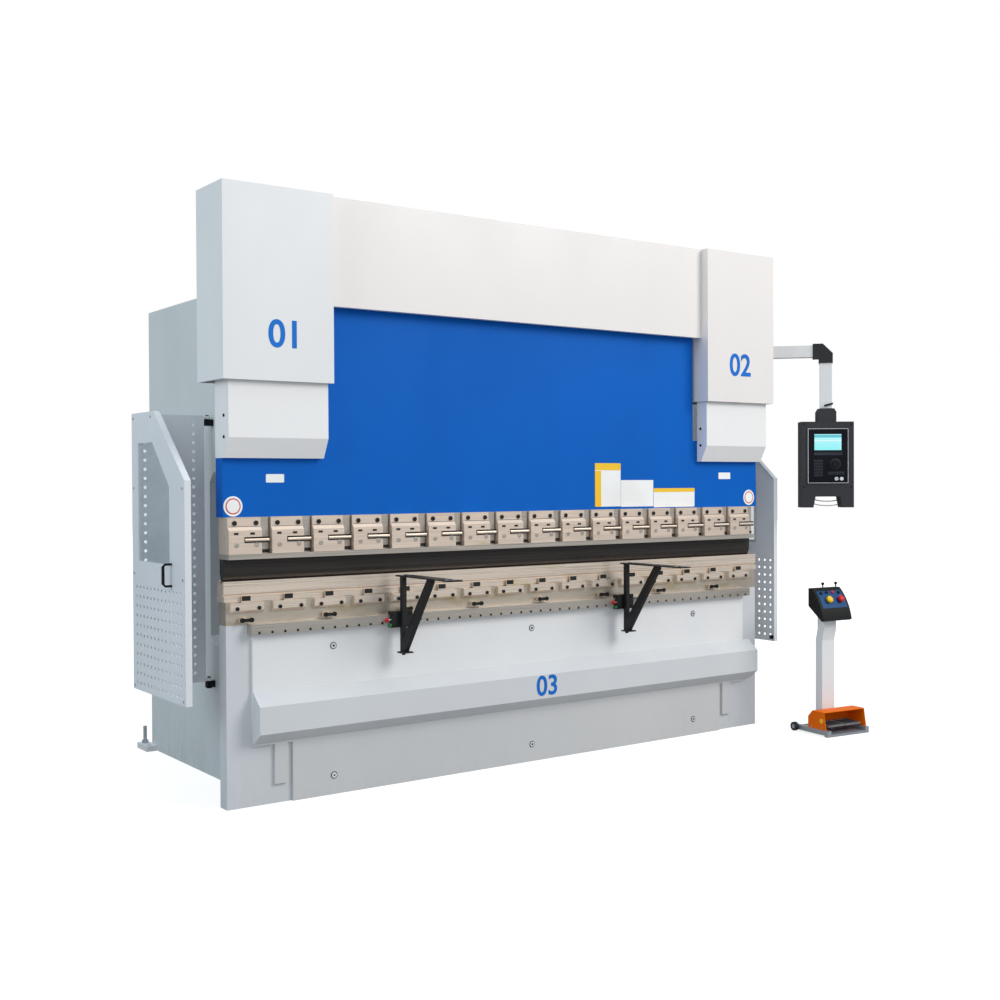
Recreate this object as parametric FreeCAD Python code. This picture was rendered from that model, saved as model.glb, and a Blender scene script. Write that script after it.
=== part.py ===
"""Hydraulic press brake with side guards, support arms, control pendant and foot control stand.

Millimetres. The origin is on the floor under the middle of the bending line: +X runs to the
right along the bed as seen by the operator, +Y runs back into the machine, +Z is up.
"""
import FreeCAD, Part
import math
import os

os.makedirs("parts", exist_ok=True)
V = FreeCAD.Vector
UP = V(0, 0, 1)
SIDES = (("left", -1), ("right", 1))

# Bed and ram: two upright plates that share the bending plane Y = 0
PLATE = 70.0
BED_TOP = 878.0
NECK_HALF = 1115.0
CYLINDER_BAY = 235.0
FRAME_PLATE = 50.0
RAM_OVERHANG = 210.0
RAM_CHEEK = 363.0
RAM_NECK = 690.0
STROKE = 200.0
BED_SETBACK = 10.0
FACE = -PLATE / 2
BACK = PLATE / 2
FRAME_IN = NECK_HALF + CYLINDER_BAY
FRAME_OUT = FRAME_IN + FRAME_PLATE
RAM_HALF = FRAME_OUT + RAM_OVERHANG
BED_HALF = RAM_HALF - BED_SETBACK

# Tooling, built up from the bed: die rail, die, punch, punch rail, clamps, then the ram
DIE_RAIL = 25.0
DIE_RAIL_HALF = 38.0
DIE_HEIGHT = 62.0
DIE_HALF = 32.0
DIE_OVERHANG = 8.0
DIE_V_HALF = 20.0
DIE_V_DEPTH = 21.0
DIE_FOOT = 9.0
DIE_FOOT_HALF = 24.0
PUNCH_ENTRY = 12.0
PUNCH_HEIGHT = 106.0
PUNCH_HALF = 20.0
PUNCH_NOSE = 46.0
PUNCH_BLADE_HALF = 7.0
PUNCH_BLADE = 9.0
PUNCH_SETBACK = 8.0
PUNCH_SHORT = 40.0
CLAMP_PITCH = 197.5
CLAMP_SETBACK = 8.0
CLAMP_WIDTH = 150.0
CLAMP_HEIGHT = 156.0
CLAMP_FRONT = -78.0
CLAMP_REAR = 28.0
CLAMP_UPPER = 38.0
CLAMP_SLOPE = 18.0
CLAMP_LEDGE = 14.0
CLAMP_RAIL = 22.0
FILLER_WIDTH = 36.0
FILLER_DEPTH = 26.0
LEVER_ROD_R = 6.5
LEVER_ROD_START = 72.0
LEVER_ROD_END = 182.0
LEVER_ROD_UP = 60.0
DIE_CLAMP_WIDTH = 154.0
DIE_CLAMP_SHIFT = 16.0
DIE_CLAMP_DROP = 3.0
DIE_CLAMP_HEIGHT = 43.0
DIE_CLAMP_THICK = 18.0
DIE_CLAMP_BEVEL = 10.0
DIE_LUG = 40.0
DIE_LUG_THICK = 8.0
DIE_LUG_SHIFT = 87.0
DIE_LUG_RISE = 27.0
KNOB_WIDTH = 66.0
KNOB_HIGH = 16.0
KNOB_DEPTH = 12.0
KNOB_STEM = 12.0
KNOB_DROP = 69.0
DIE_TOP = BED_TOP + DIE_RAIL + DIE_HEIGHT
PUNCH_TIP = DIE_TOP - PUNCH_ENTRY
PUNCH_TOP = PUNCH_TIP + PUNCH_HEIGHT
CLAMP_LOW = PUNCH_TOP + CLAMP_RAIL
RAM_BOTTOM = CLAMP_LOW + CLAMP_HEIGHT
RAM_SHOULDER = RAM_BOTTOM + RAM_CHEEK
RAM_TOP = RAM_SHOULDER + RAM_NECK
CLAMP_START = -RAM_HALF + CLAMP_SETBACK
CLAMP_COUNT = int((2 * RAM_HALF - CLAMP_SETBACK) / CLAMP_PITCH)
PUNCH_START = -RAM_HALF + PUNCH_SETBACK
PUNCH_END = RAM_HALF - PUNCH_SHORT

# Side frames
FRAME_REAR = 1385.0
FRAME_TOP = 2265.0
HEAD_FRONT = 100.0
THROAT_LOW = 620.0
THROAT_HIGH = 1432.0
THROAT_REAR = 600.0
THROAT_CORNER = 45.0
GUIDE_GAP = 6.0
GUIDE_DROP = 10.0

# Sheet-metal covers over the cylinders, the band between them and the skirts on the ram
SHEET = 3.0
NECK_GAP = 18.0
SKIRT_GAP = 13.0
SKIRT_SIDE_GAP = 30.0
COVER_GAP = 12.0
COVER_HEIGHT = 820.0
COVER_FRONT = -135.0
COVER_REAR = 139.0
BAND_SETBACK = 46.0
BAND_HEIGHT = 478.0
BAND_RETURN = 30.0
SKIRT_SETBACK = 26.0
SKIRT_UP = 250.0
SKIRT_CHAMFER = 85.0
SKIRT_CHAMFER_BACK = 44.0
SKIRT_OVERLAP = 38.0
SKIRT_REAR = 31.0
COVER_IN = NECK_HALF + NECK_GAP
COVER_OUT = RAM_HALF + SHEET + SKIRT_SIDE_GAP + SHEET
COVER_LOW = RAM_SHOULDER + STROKE + COVER_GAP
COVER_TOP = COVER_LOW + COVER_HEIGHT
BAND_FRONT = COVER_FRONT + BAND_SETBACK
BAND_LOW = COVER_TOP - BAND_HEIGHT
SKIRT_IN = COVER_IN + SHEET + SKIRT_GAP
SKIRT_FRONT = COVER_FRONT + SKIRT_SETBACK
SKIRT_LOW = RAM_BOTTOM + SKIRT_UP
SKIRT_TOP = COVER_LOW + SKIRT_OVERLAP

# Cylinders and rods
CYLINDER_R = 92.0
CYLINDER_UP = 58.0
CYLINDER_LONG = 460.0
CYLINDER_CAP = 40.0
CYLINDER_CAP_R = 78.0
LUG_WIDTH = 150.0
LUG_MARGIN = 40.0
ROD_R = 45.0
ROD_FIT = 0.05
ROD_GRIP = 180.0
ROD_FLANGE_R = 62.0
ROD_FLANGE = 30.0
CYLINDER_X = FRAME_IN + FRAME_PLATE / 2
CYLINDER_LOW = COVER_LOW + CYLINDER_UP
ROD_TOP = CYLINDER_LOW + ROD_GRIP

# Front sheet work of the bed
PANEL_THICK = 14.0
PANEL_SETBACK = 114.0
PANEL_FOOT_SETBACK = 300.0
PANEL_LOW = 258.0
PANEL_LUG_SETBACK = 215.0
PANEL_LUG_WIDTH = 60.0
PANEL_LUG_LOW = 85.0
APRON_SETBACK = 70.0
APRON_BULGE = 71.0
APRON_LOW = 268.0
APRON_UNDER = 50.0
APRON_FACE = 117.0
APRON_SLOPE = 55.0
RAIL_DROP = 96.0
RAIL_HEIGHT = 43.0
RAIL_DEPTH = 50.0
RAIL_SETBACK = 95.0
RAIL_TOP = BED_TOP - RAIL_DROP
RAIL_LOW = RAIL_TOP - RAIL_HEIGHT
RAIL_FRONT = FACE - RAIL_DEPTH
PANEL_FRONT = FACE - PANEL_THICK
PANEL_HALF = BED_HALF - PANEL_SETBACK
PANEL_FOOT_HALF = BED_HALF - PANEL_FOOT_SETBACK
APRON_END = BED_HALF - APRON_SETBACK
RAIL_HALF = BED_HALF - RAIL_SETBACK

# Front support arms, each on a carriage round the rail
LEFT_ARM_X = -775.0
RIGHT_ARM_X = 568.0
ARM_BAR = 22.0
ARM_DROP = 3.0
ARM_PLATE = 6.0
ARM_PLATE_WIDTH = 70.0
ARM_REACH = 445.0
ARM_HEIGHT = 347.0
ARM_FOOT_WIDTH = 56.0
ARM_BRACE = 30.0
ARM_BRACE_REACH = 238.0
CARRIAGE_WIDTH = 112.0
CARRIAGE_GAP = 0.3
CARRIAGE_FRONT = 36.0
CARRIAGE_WALL = 15.0
CARRIAGE_LIP = 16.0
ARM_TOP = DIE_TOP - ARM_DROP

# Side guards of folded sheet, hinged on the frames above and below the throat
GUARD_REACH = 380.0
GUARD_EDGE = 30.0
GUARD_SKIN = 3.0
GUARD_FRONT = -42.0
GUARD_LOW = 458.0
GUARD_TOP = 1695.0
GUARD_CHAMFER_Y = 347.0
GUARD_CHAMFER_Z = 302.0
GUARD_PIN_OUT = 26.0
GUARD_PIN_Y = 565.0
GUARD_REAR_HALF = 12.0
GUARD_POST = 20.0
GUARD_PIN_R = 8.0
GUARD_PIN_FIT = 0.05
GUARD_EAR = 16.0
GUARD_EAR_HALF = 14.0
HINGE_BLOCK = 30.0
HINGE_HALF = 14.0
HINGE_GAP = 0.3
HINGE_PIN_RISE = 4.0
WINDOW_LOW = 1037.0
WINDOW_HEIGHT = 523.0
WINDOW_FRONT = 128.0
WINDOW_WIDTH = 372.0
WINDOW_CHAMFER_Y = 194.0
WINDOW_CHAMFER_Z = 192.0
PANE = 4.0
PANE_LAP = 14.0
HANDLE_Y = 107.0
HANDLE_LOW = 944.0
HANDLE_HEIGHT = 101.0
HANDLE_OUT = 42.0
HANDLE_BAR = 13.0
HANDLE_CORNER = 14.0
HANDLE_THICK = 9.0
GUARD_OUT = FRAME_OUT + GUARD_REACH
GUARD_PIN_X = FRAME_OUT + GUARD_PIN_OUT

# Rear feet
FOOT_WIDTH = 57.0
FOOT_FRONT = 1310.0
FOOT_REAR = 1448.0
FOOT_THICK = 28.0
FOOT_BOLT_Y = 1410.0
FOOT_BOLT_R = 9.0
FOOT_BOLT_TALL = 88.0
FOOT_NUT_R = 17.0
FOOT_NUT = 16.0
ANCHOR_Y = 1345.0
ANCHOR_R = 11.0
FOOT_X = FRAME_OUT + FOOT_WIDTH / 2

# Control pendant
MAST_OUT = 74.0
MAST_Y = 45.0
MAST_Z = 2117.0
MAST_PIN_R = 14.0
MAST_FIT = 0.05
MAST_PLATE = 8.0
MAST_PLATE_HALF = 60.0
MAST_GAP = 0.3
MAST_SHELF = 22.0
MAST_HUB = 8.0
DROP_X = 1974.0
DROP_Y = -232.0
TUBE = 66.0
KNUCKLE_WALL = 5.0
KNUCKLE_RISE = 9.0
KNUCKLE = 111.0
KNUCKLE_SOCKET = 34.0
KNUCKLE_CHAMFER = 55.0
DROP_LONG = 257.0
PENDANT_YAW = -35.65
NECK_TOP_HALF = 39.0
NECK_LOW_HALF = 51.0
NECK_HALF_DEPTH = 39.0
NECK_SLOPE = 20.0
NECK_TALL = 76.0
BOX_HEIGHT = 488.0
BOX_HALF = 148.0
BOX_DEPTH = 96.0
BOX_LEG = 66.0
BOX_CUT = 62.0
BOX_CUT_SLOPE = 12.0
PANEL_HALF_WIDTH = 112.0
PANEL_TALL = 305.0
PANEL_DROP = 42.0
PANEL_PROUD = 5.0
MAST_X = COVER_OUT + MAST_OUT
KNUCKLE_TOP = MAST_Z + TUBE / 2 + KNUCKLE_RISE
DROP_LOW = KNUCKLE_TOP - KNUCKLE - DROP_LONG
BOX_TOP = DROP_LOW - NECK_TALL - MAST_GAP
BOX_LOW = BOX_TOP - BOX_HEIGHT
BOX_LEG_TOP = BOX_LOW + BOX_CUT

# Foot control stand, free-standing at the right front
STAND_X = 1772.0
STAND_Y = -434.0
STAND_YAW = -6.5
STAND_HALF_WIDTH = 150.0
STAND_HALF_DEPTH = 135.0
STAND_BAR = 26.0
STAND_LIFT = 8.0
FLOOR_PLATE = 6.0
WHEEL_R = 24.0
WHEEL_WIDTH = 18.0
WHEEL_INSET = 22.0
AXLE_R = 5.0
AXLE_FIT = 0.05
AXLE_GAP = 0.3
AXLE_HEAD = 2.0
PEDAL_AXIS_Y = 0.0
PEDAL_AXIS_UP = 38.0
PEDAL_WIDTH = 114.0
PEDAL_THICK = 10.0
PEDAL_REACH = 106.0
PEDAL_HUB_R = 10.0
CHEEK = 6.0
COLUMN_WIDTH = 90.0
COLUMN_DEPTH = 50.0
COLUMN_Y = 19.0
COLUMN_BEND = 560.0
COLUMN_STOP = 500.0
COLUMN_LEAN = 14.0
HOOD_HALF = 148.0
HOOD_SLANT = 17.0
HOOD_SETBACK = 17.0
HOOD_TALL = 96.0
HOOD_KNEE = 34.0
HOOD_SHEET = 4.0
CONSOLE_HALF = 104.0
CONSOLE_NOSE_Y = -55.0
CONSOLE_NOSE_Z = 618.0
CONSOLE_LIP = 15.0
CONSOLE_LIP_DROP = 6.0
CONSOLE_REAR_Y = 63.0
CONSOLE_RISE = 170.0
CONSOLE_LEDGE = 24.0
CONSOLE_REAR_TALL = 98.0
LEVER_LEFT_X = -10.0
LEVER_RIGHT_X = 86.0
LEVER_R = 3.5
LEVER_SIDES = 8
LEVER_KNOB_R = 8.0
LEVER_LONG = 16.0
STAND_TOP = STAND_LIFT + STAND_BAR
WHEEL_Y = STAND_HALF_DEPTH - WHEEL_INSET
PEDAL_AXIS_Z = STAND_LIFT + FLOOR_PLATE + PEDAL_AXIS_UP
HOOD_FRONT = -STAND_HALF_DEPTH + HOOD_SETBACK
CONSOLE_TOP = CONSOLE_NOSE_Z + CONSOLE_RISE
LEVER_Y = CONSOLE_REAR_Y - CONSOLE_LEDGE / 2
LEVER_FOOT_Z = CONSOLE_TOP + AXLE_GAP + LEVER_R

# Rear equipment
TANK_FRONT = 720.0
TANK_DEPTH = 330.0
TANK_HEIGHT = 470.0
TANK_SETDOWN = 75.0
TANK_LID = 12.0
TANK_LIP = 18.0
MOTOR_R = 105.0
MOTOR_HIGH = 250.0
MOTOR_FLANGE = 24.0
MOTOR_FLANGE_OUT = 22.0
MOTOR_COWL = 50.0
MOTOR_COWL_IN = 8.0
TERMINAL_DEPTH = 55.0
TERMINAL_HALF = 50.0
TERMINAL_UP = 90.0
BEAM_PLATE = 30.0
BEAM_SETBACK = 85.0
BEAM_LOW = 90.0
BEAM_HEIGHT = 470.0
CABINET_DEPTH = 360.0
CABINET_SETBACK = 10.0
CABINET_WIDTH = 390.0
CABINET_LOW = 700.0
CABINET_HEIGHT = 1050.0
CABINET_DOOR = 14.0
CABINET_MARGIN = 16.0
GAUGE_SETBACK = 450.0
GUIDE_RAIL_HALF = 40.0
GUIDE_RAIL_LONG = 620.0
GUIDE_RAIL_HIGH = 40.0
GUIDE_RAIL_DROP = 78.0
GUIDE_FOOT = 20.0
GUIDE_FOOT_HALF = 60.0
GUIDE_FOOT_OVER = 60.0
GAUGE_BEAM_Y = 470.0
GAUGE_BEAM_SETBACK = 100.0
GAUGE_BEAM_DEPTH = 60.0
GAUGE_BEAM_HIGH = 80.0
GAUGE_CARRIAGE = 40.0
GAUGE_CARRIAGE_HALF = 50.0
FINGER_HALF = 35.0
FINGER_HIGH = 44.0
FINGER_TIP = 20.0
FINGER_TIP_HALF = 20.0
FINGER_BODY = 40.0
FINGER_REACH = 120.0
TANK_LOW = FRAME_TOP - TANK_SETDOWN - TANK_HEIGHT
TANK_TOP = TANK_LOW + TANK_HEIGHT
TANK_MIDDLE = TANK_FRONT + TANK_DEPTH / 2
CABINET_REAR = FRAME_REAR - CABINET_SETBACK
CABINET_OUT = FRAME_OUT + CABINET_DEPTH
GAUGE_X = FRAME_IN - GAUGE_SETBACK
GUIDE_RAIL_TOP = BED_TOP - GUIDE_RAIL_DROP
GAUGE_BEAM_LOW = GUIDE_RAIL_TOP + GAUGE_CARRIAGE
GAUGE_BEAM_TOP = GAUGE_BEAM_LOW + GAUGE_BEAM_HIGH
GAUGE_BEAM_HALF = FRAME_IN - GAUGE_BEAM_SETBACK
FINGER_X = GAUGE_X / 2


def block(x0, x1, y0, y1, z0, z1):
    """Rectangular solid between two corners, given in any order."""
    low = V(min(x0, x1), min(y0, y1), min(z0, z1))
    return Part.makeBox(abs(x1 - x0), abs(y1 - y0), abs(z1 - z0), low)


def outline(points):
    """Closed flat face through the points."""
    return Part.Face(Part.makePolygon(points + [points[0]]))


def along_x(profile, x0, x1):
    """Solid of a (y, z) profile between two X positions."""
    face = outline([V(min(x0, x1), y, z) for y, z in profile])
    return face.extrude(V(abs(x1 - x0), 0, 0))


def along_y(profile, y0, y1):
    """Solid of an (x, z) profile between two Y positions."""
    face = outline([V(x, min(y0, y1), z) for x, z in profile])
    return face.extrude(V(0, abs(y1 - y0), 0))


def along_z(profile, z0, z1):
    """Solid of an (x, y) profile between two heights."""
    face = outline([V(x, y, min(z0, z1)) for x, y in profile])
    return face.extrude(V(0, 0, abs(z1 - z0)))


def rod(radius, start, end):
    """Round bar between two points."""
    way = end - start
    return Part.makeCylinder(radius, way.Length, start, way)


def post(radius, x, y, z0, z1):
    """Upright round bar."""
    return Part.makeCylinder(radius, z1 - z0, V(x, y, z0), UP)


def ring(radius, sides, x=0.0, y=0.0):
    """Corner points of a regular polygon about (x, y)."""
    turns = [2 * math.pi * i / sides for i in range(sides)]
    return [(x + radius * math.cos(turn), y + radius * math.sin(turn)) for turn in turns]


def join(*solids):
    """One shape from touching solids, with seams between flush faces removed."""
    whole = solids[0]
    for solid in solids[1:]:
        whole = whole.fuse(solid)
    return whole.removeSplitter()


def together(solids):
    """Separate solids kept in one sub-part."""
    return Part.makeCompound(list(solids))


def turned(shape, x, y, yaw):
    """Shape modelled about the Z axis, turned by yaw degrees and moved to (x, y)."""
    copy = shape.copy()
    copy.rotate(V(0, 0, 0), UP, yaw)
    copy.translate(V(x, y, 0))
    return copy


def save(name, shape):
    """Writes one sub-part."""
    shape.exportStep("parts/" + name + ".step")


def make_bed():
    """Bed plate, with its raised front panel, apron and support rail."""
    save("bed_plate", block(-BED_HALF, BED_HALF, FACE, BACK, 0, BED_TOP))
    lug = PANEL_LUG_WIDTH / 2
    lug_x = BED_HALF - PANEL_LUG_SETBACK - lug
    panel = join(
        block(-PANEL_HALF, PANEL_HALF, PANEL_FRONT, FACE, PANEL_LOW, RAIL_LOW),
        block(-PANEL_FOOT_HALF, PANEL_FOOT_HALF, PANEL_FRONT, FACE, 0, PANEL_LOW),
        block(-lug_x - lug, -lug_x + lug, PANEL_FRONT, FACE, PANEL_LUG_LOW, PANEL_LOW),
        block(lug_x - lug, lug_x + lug, PANEL_FRONT, FACE, PANEL_LUG_LOW, PANEL_LOW),
    )
    save("bed_front_panel", panel)
    front = PANEL_FRONT - APRON_BULGE
    edge = PANEL_FRONT - SHEET
    bulge_low = APRON_LOW + APRON_UNDER
    bulge_top = bulge_low + APRON_FACE
    top = bulge_top + APRON_SLOPE
    outer = [
        (PANEL_FRONT, top),
        (edge, top),
        (front, bulge_top),
        (front, bulge_low),
        (edge, APRON_LOW),
        (PANEL_FRONT, APRON_LOW),
    ]
    inner = [
        (PANEL_FRONT, top - 3 * SHEET),
        (front + SHEET, bulge_top - SHEET),
        (front + SHEET, bulge_low + SHEET),
        (PANEL_FRONT, APRON_LOW + 3 * SHEET),
    ]
    apron = along_x(outer, -PANEL_HALF, APRON_END)
    hollow = along_x(inner, -PANEL_HALF + SHEET, APRON_END - SHEET)
    save("apron_cover", apron.cut(hollow))
    save("front_rail", block(-RAIL_HALF, RAIL_HALF, RAIL_FRONT, FACE, RAIL_LOW, RAIL_TOP))


def make_frames():
    """C-shaped side plates with their ram guide noses, rear feet and levelling bolts."""
    corner = THROAT_CORNER
    nose_front = BACK + GUIDE_GAP
    nose_top = RAM_SHOULDER - GUIDE_DROP
    profile = [
        (BACK, 0),
        (FRAME_REAR, 0),
        (FRAME_REAR, FRAME_TOP),
        (HEAD_FRONT, FRAME_TOP),
        (HEAD_FRONT, nose_top),
        (nose_front, nose_top),
        (nose_front, THROAT_HIGH),
        (THROAT_REAR - corner, THROAT_HIGH),
        (THROAT_REAR, THROAT_HIGH - corner),
        (THROAT_REAR, THROAT_LOW + corner),
        (THROAT_REAR - corner, THROAT_LOW),
        (BACK, THROAT_LOW),
    ]
    feet = []
    bolts = []
    for side, s in SIDES:
        save(side + "_side_frame", along_x(profile, s * FRAME_IN, s * FRAME_OUT))
        foot = block(s * FRAME_OUT, s * (FRAME_OUT + FOOT_WIDTH), FOOT_FRONT, FOOT_REAR, 0, FOOT_THICK)
        feet.append(foot.cut(post(ANCHOR_R, s * FOOT_X, ANCHOR_Y, 0, FOOT_THICK)))
        hexagon = ring(FOOT_NUT_R, 6, s * FOOT_X, FOOT_BOLT_Y)
        nut = along_z(hexagon, FOOT_THICK, FOOT_THICK + FOOT_NUT)
        stem = post(FOOT_BOLT_R, s * FOOT_X, FOOT_BOLT_Y, FOOT_THICK, FOOT_THICK + FOOT_BOLT_TALL)
        bolts.append(join(stem, nut))
    save("rear_feet", together(feet))
    save("levelling_bolts", together(bolts))


def make_covers():
    """Fixed upper covers over the cylinders and the band between them."""
    for side, s in SIDES:
        shell = block(s * COVER_IN, s * COVER_OUT, COVER_FRONT, COVER_REAR, COVER_LOW, COVER_TOP)
        hollow = block(
            s * (COVER_IN + SHEET),
            s * (COVER_OUT - SHEET),
            COVER_FRONT + SHEET,
            COVER_REAR - SHEET,
            COVER_LOW - SHEET,
            COVER_TOP - SHEET,
        )
        slot = block(s * FRAME_IN, s * FRAME_OUT, HEAD_FRONT, COVER_REAR, COVER_LOW, FRAME_TOP)
        save(side + "_upper_cover", shell.cut(hollow).cut(slot))
    band = [
        (BAND_FRONT, BAND_LOW),
        (BAND_FRONT + BAND_RETURN, BAND_LOW),
        (BAND_FRONT + BAND_RETURN, BAND_LOW + SHEET),
        (BAND_FRONT + SHEET, BAND_LOW + SHEET),
        (BAND_FRONT + SHEET, COVER_TOP - SHEET),
        (COVER_REAR, COVER_TOP - SHEET),
        (COVER_REAR, COVER_TOP),
        (BAND_FRONT, COVER_TOP),
    ]
    save("top_front_cover", along_x(band, -COVER_IN, COVER_IN))


def make_cylinders():
    """Hydraulic cylinders on the frames and their rods on the ram's shoulders."""
    rods = []
    for side, s in SIDES:
        x = s * CYLINDER_X
        half = LUG_WIDTH / 2
        cylinder_top = CYLINDER_LOW + CYLINDER_LONG
        lug_top = FRAME_TOP - LUG_MARGIN
        body = join(
            post(CYLINDER_R, x, 0, CYLINDER_LOW, cylinder_top),
            post(CYLINDER_CAP_R, x, 0, cylinder_top, cylinder_top + CYLINDER_CAP),
            block(x - half, x + half, 0, HEAD_FRONT, CYLINDER_LOW + LUG_MARGIN, lug_top),
        )
        bore = post(ROD_R + ROD_FIT, x, 0, CYLINDER_LOW, ROD_TOP + STROKE + 2 * ROD_FLANGE)
        save(side + "_cylinder", body.cut(bore))
        rods.append(join(
            post(ROD_R, x, 0, RAM_SHOULDER, ROD_TOP),
            post(ROD_FLANGE_R, x, 0, RAM_SHOULDER, RAM_SHOULDER + ROD_FLANGE),
        ))
    save("cylinder_rods", together(rods))


def make_ram():
    """Ram plate with shoulders, and the skirts that telescope into the upper covers."""
    profile = [
        (-RAM_HALF, RAM_BOTTOM),
        (RAM_HALF, RAM_BOTTOM),
        (RAM_HALF, RAM_SHOULDER),
        (NECK_HALF, RAM_SHOULDER),
        (NECK_HALF, RAM_TOP),
        (-NECK_HALF, RAM_TOP),
        (-NECK_HALF, RAM_SHOULDER),
        (-RAM_HALF, RAM_SHOULDER),
    ]
    save("ram_plate", along_y(profile, FACE, BACK))
    slope = SKIRT_LOW + SKIRT_CHAMFER
    heel = SKIRT_FRONT + SKIRT_CHAMFER_BACK
    for side, s in SIDES:
        outer = [
            (heel, SKIRT_LOW),
            (FACE, SKIRT_LOW),
            (FACE, SKIRT_TOP),
            (SKIRT_FRONT, SKIRT_TOP),
            (SKIRT_FRONT, slope),
        ]
        inner = [
            (heel + SHEET, SKIRT_LOW + SHEET),
            (FACE, SKIRT_LOW + SHEET),
            (FACE, SKIRT_TOP),
            (SKIRT_FRONT + SHEET, SKIRT_TOP),
            (SKIRT_FRONT + SHEET, slope),
        ]
        body = along_x(outer, s * SKIRT_IN, s * (RAM_HALF + SHEET))
        hollow = along_x(inner, s * (SKIRT_IN + SHEET), s * RAM_HALF)
        cheek = block(s * RAM_HALF, s * (RAM_HALF + SHEET), FACE, SKIRT_REAR, SKIRT_LOW, SKIRT_TOP)
        save(side + "_ram_skirt", join(body.cut(hollow), cheek))


def make_punch_clamp(left):
    """Quick-release clamp: a stepped jaw with the wedge rod that closes it."""
    step = RAM_BOTTOM - CLAMP_UPPER
    profile = [
        (CLAMP_REAR, CLAMP_LOW),
        (CLAMP_FRONT, CLAMP_LOW),
        (CLAMP_FRONT, step - CLAMP_SLOPE),
        (CLAMP_FRONT + CLAMP_LEDGE, step),
        (CLAMP_FRONT + CLAMP_LEDGE, RAM_BOTTOM),
        (CLAMP_REAR, RAM_BOTTOM),
    ]
    jaw = along_x(profile, left, left + CLAMP_WIDTH)
    hexagon = ring(LEVER_ROD_R, 6, CLAMP_FRONT, CLAMP_LOW + LEVER_ROD_UP)
    return join(jaw, along_x(hexagon, left + LEVER_ROD_START, left + LEVER_ROD_END))


def make_tooling():
    """Punch with its clamps on the ram, die with its rail and clamps on the bed."""
    bevel = PUNCH_TIP + PUNCH_BLADE
    shoulder = PUNCH_TIP + PUNCH_NOSE
    blade = [
        (-PUNCH_HALF, PUNCH_TOP),
        (-PUNCH_HALF, shoulder),
        (-PUNCH_BLADE_HALF, bevel),
        (0, PUNCH_TIP),
        (PUNCH_BLADE_HALF, bevel),
        (PUNCH_HALF, shoulder),
        (PUNCH_HALF, PUNCH_TOP),
    ]
    save("punch", along_x(blade, PUNCH_START, PUNCH_END))
    lefts = [CLAMP_START + i * CLAMP_PITCH for i in range(CLAMP_COUNT)]
    save("punch_clamps", together([make_punch_clamp(left) for left in lefts]))
    gap = (CLAMP_PITCH - CLAMP_WIDTH - FILLER_WIDTH) / 2
    tail = lefts[-1] + CLAMP_PITCH
    rail = [block(CLAMP_START, tail, CLAMP_FRONT + SHEET, CLAMP_REAR, PUNCH_TOP, CLAMP_LOW)]
    for left in lefts:
        near = left + CLAMP_WIDTH + gap
        far = near + FILLER_WIDTH
        rail.append(block(near, far, CLAMP_FRONT + FILLER_DEPTH, CLAMP_REAR, CLAMP_LOW, RAM_BOTTOM))
    save("punch_rail", join(*rail))

    half = BED_HALF + DIE_OVERHANG
    rail_top = BED_TOP + DIE_RAIL
    save("die_rail", block(-half, half, -DIE_RAIL_HALF, DIE_RAIL_HALF, BED_TOP, rail_top))
    die = [
        (-DIE_FOOT_HALF, rail_top),
        (DIE_FOOT_HALF, rail_top),
        (DIE_FOOT_HALF, rail_top + DIE_FOOT),
        (DIE_HALF, rail_top + DIE_FOOT),
        (DIE_HALF, DIE_TOP),
        (DIE_V_HALF, DIE_TOP),
        (0, DIE_TOP - DIE_V_DEPTH),
        (-DIE_V_HALF, DIE_TOP),
        (-DIE_HALF, DIE_TOP),
        (-DIE_HALF, rail_top + DIE_FOOT),
        (-DIE_FOOT_HALF, rail_top + DIE_FOOT),
    ]
    save("v_die", along_x(die, -half, half))

    pieces = []
    front = FACE - DIE_CLAMP_THICK
    top = BED_TOP - DIE_CLAMP_DROP
    low = top - DIE_CLAMP_HEIGHT
    knob_top = BED_TOP - KNOB_DROP
    jaw = [
        (FACE, low),
        (FACE, top),
        (front, top),
        (front, low + DIE_CLAMP_BEVEL),
        (front + DIE_CLAMP_BEVEL, low),
    ]
    for i, left in enumerate(lefts):
        near = left + DIE_CLAMP_SHIFT
        middle = left + DIE_LUG_SHIFT
        claw = block(
            middle - DIE_LUG / 2,
            middle + DIE_LUG / 2,
            front,
            front + DIE_LUG_THICK,
            top,
            BED_TOP + DIE_LUG_RISE,
        )
        pieces.append(join(along_x(jaw, near, near + DIE_CLAMP_WIDTH), claw))
        if i % 2 == 0:
            half_knob = KNOB_WIDTH / 2
            stem_front = FACE - KNOB_STEM
            pieces.append(join(
                block(
                    middle - half_knob,
                    middle + half_knob,
                    stem_front - KNOB_DEPTH,
                    stem_front,
                    knob_top - KNOB_HIGH,
                    knob_top,
                ),
                block(
                    middle - KNOB_HIGH / 2,
                    middle + KNOB_HIGH / 2,
                    stem_front,
                    FACE,
                    knob_top - KNOB_HIGH,
                    knob_top,
                ),
            ))
    save("die_clamps", together(pieces))


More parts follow.
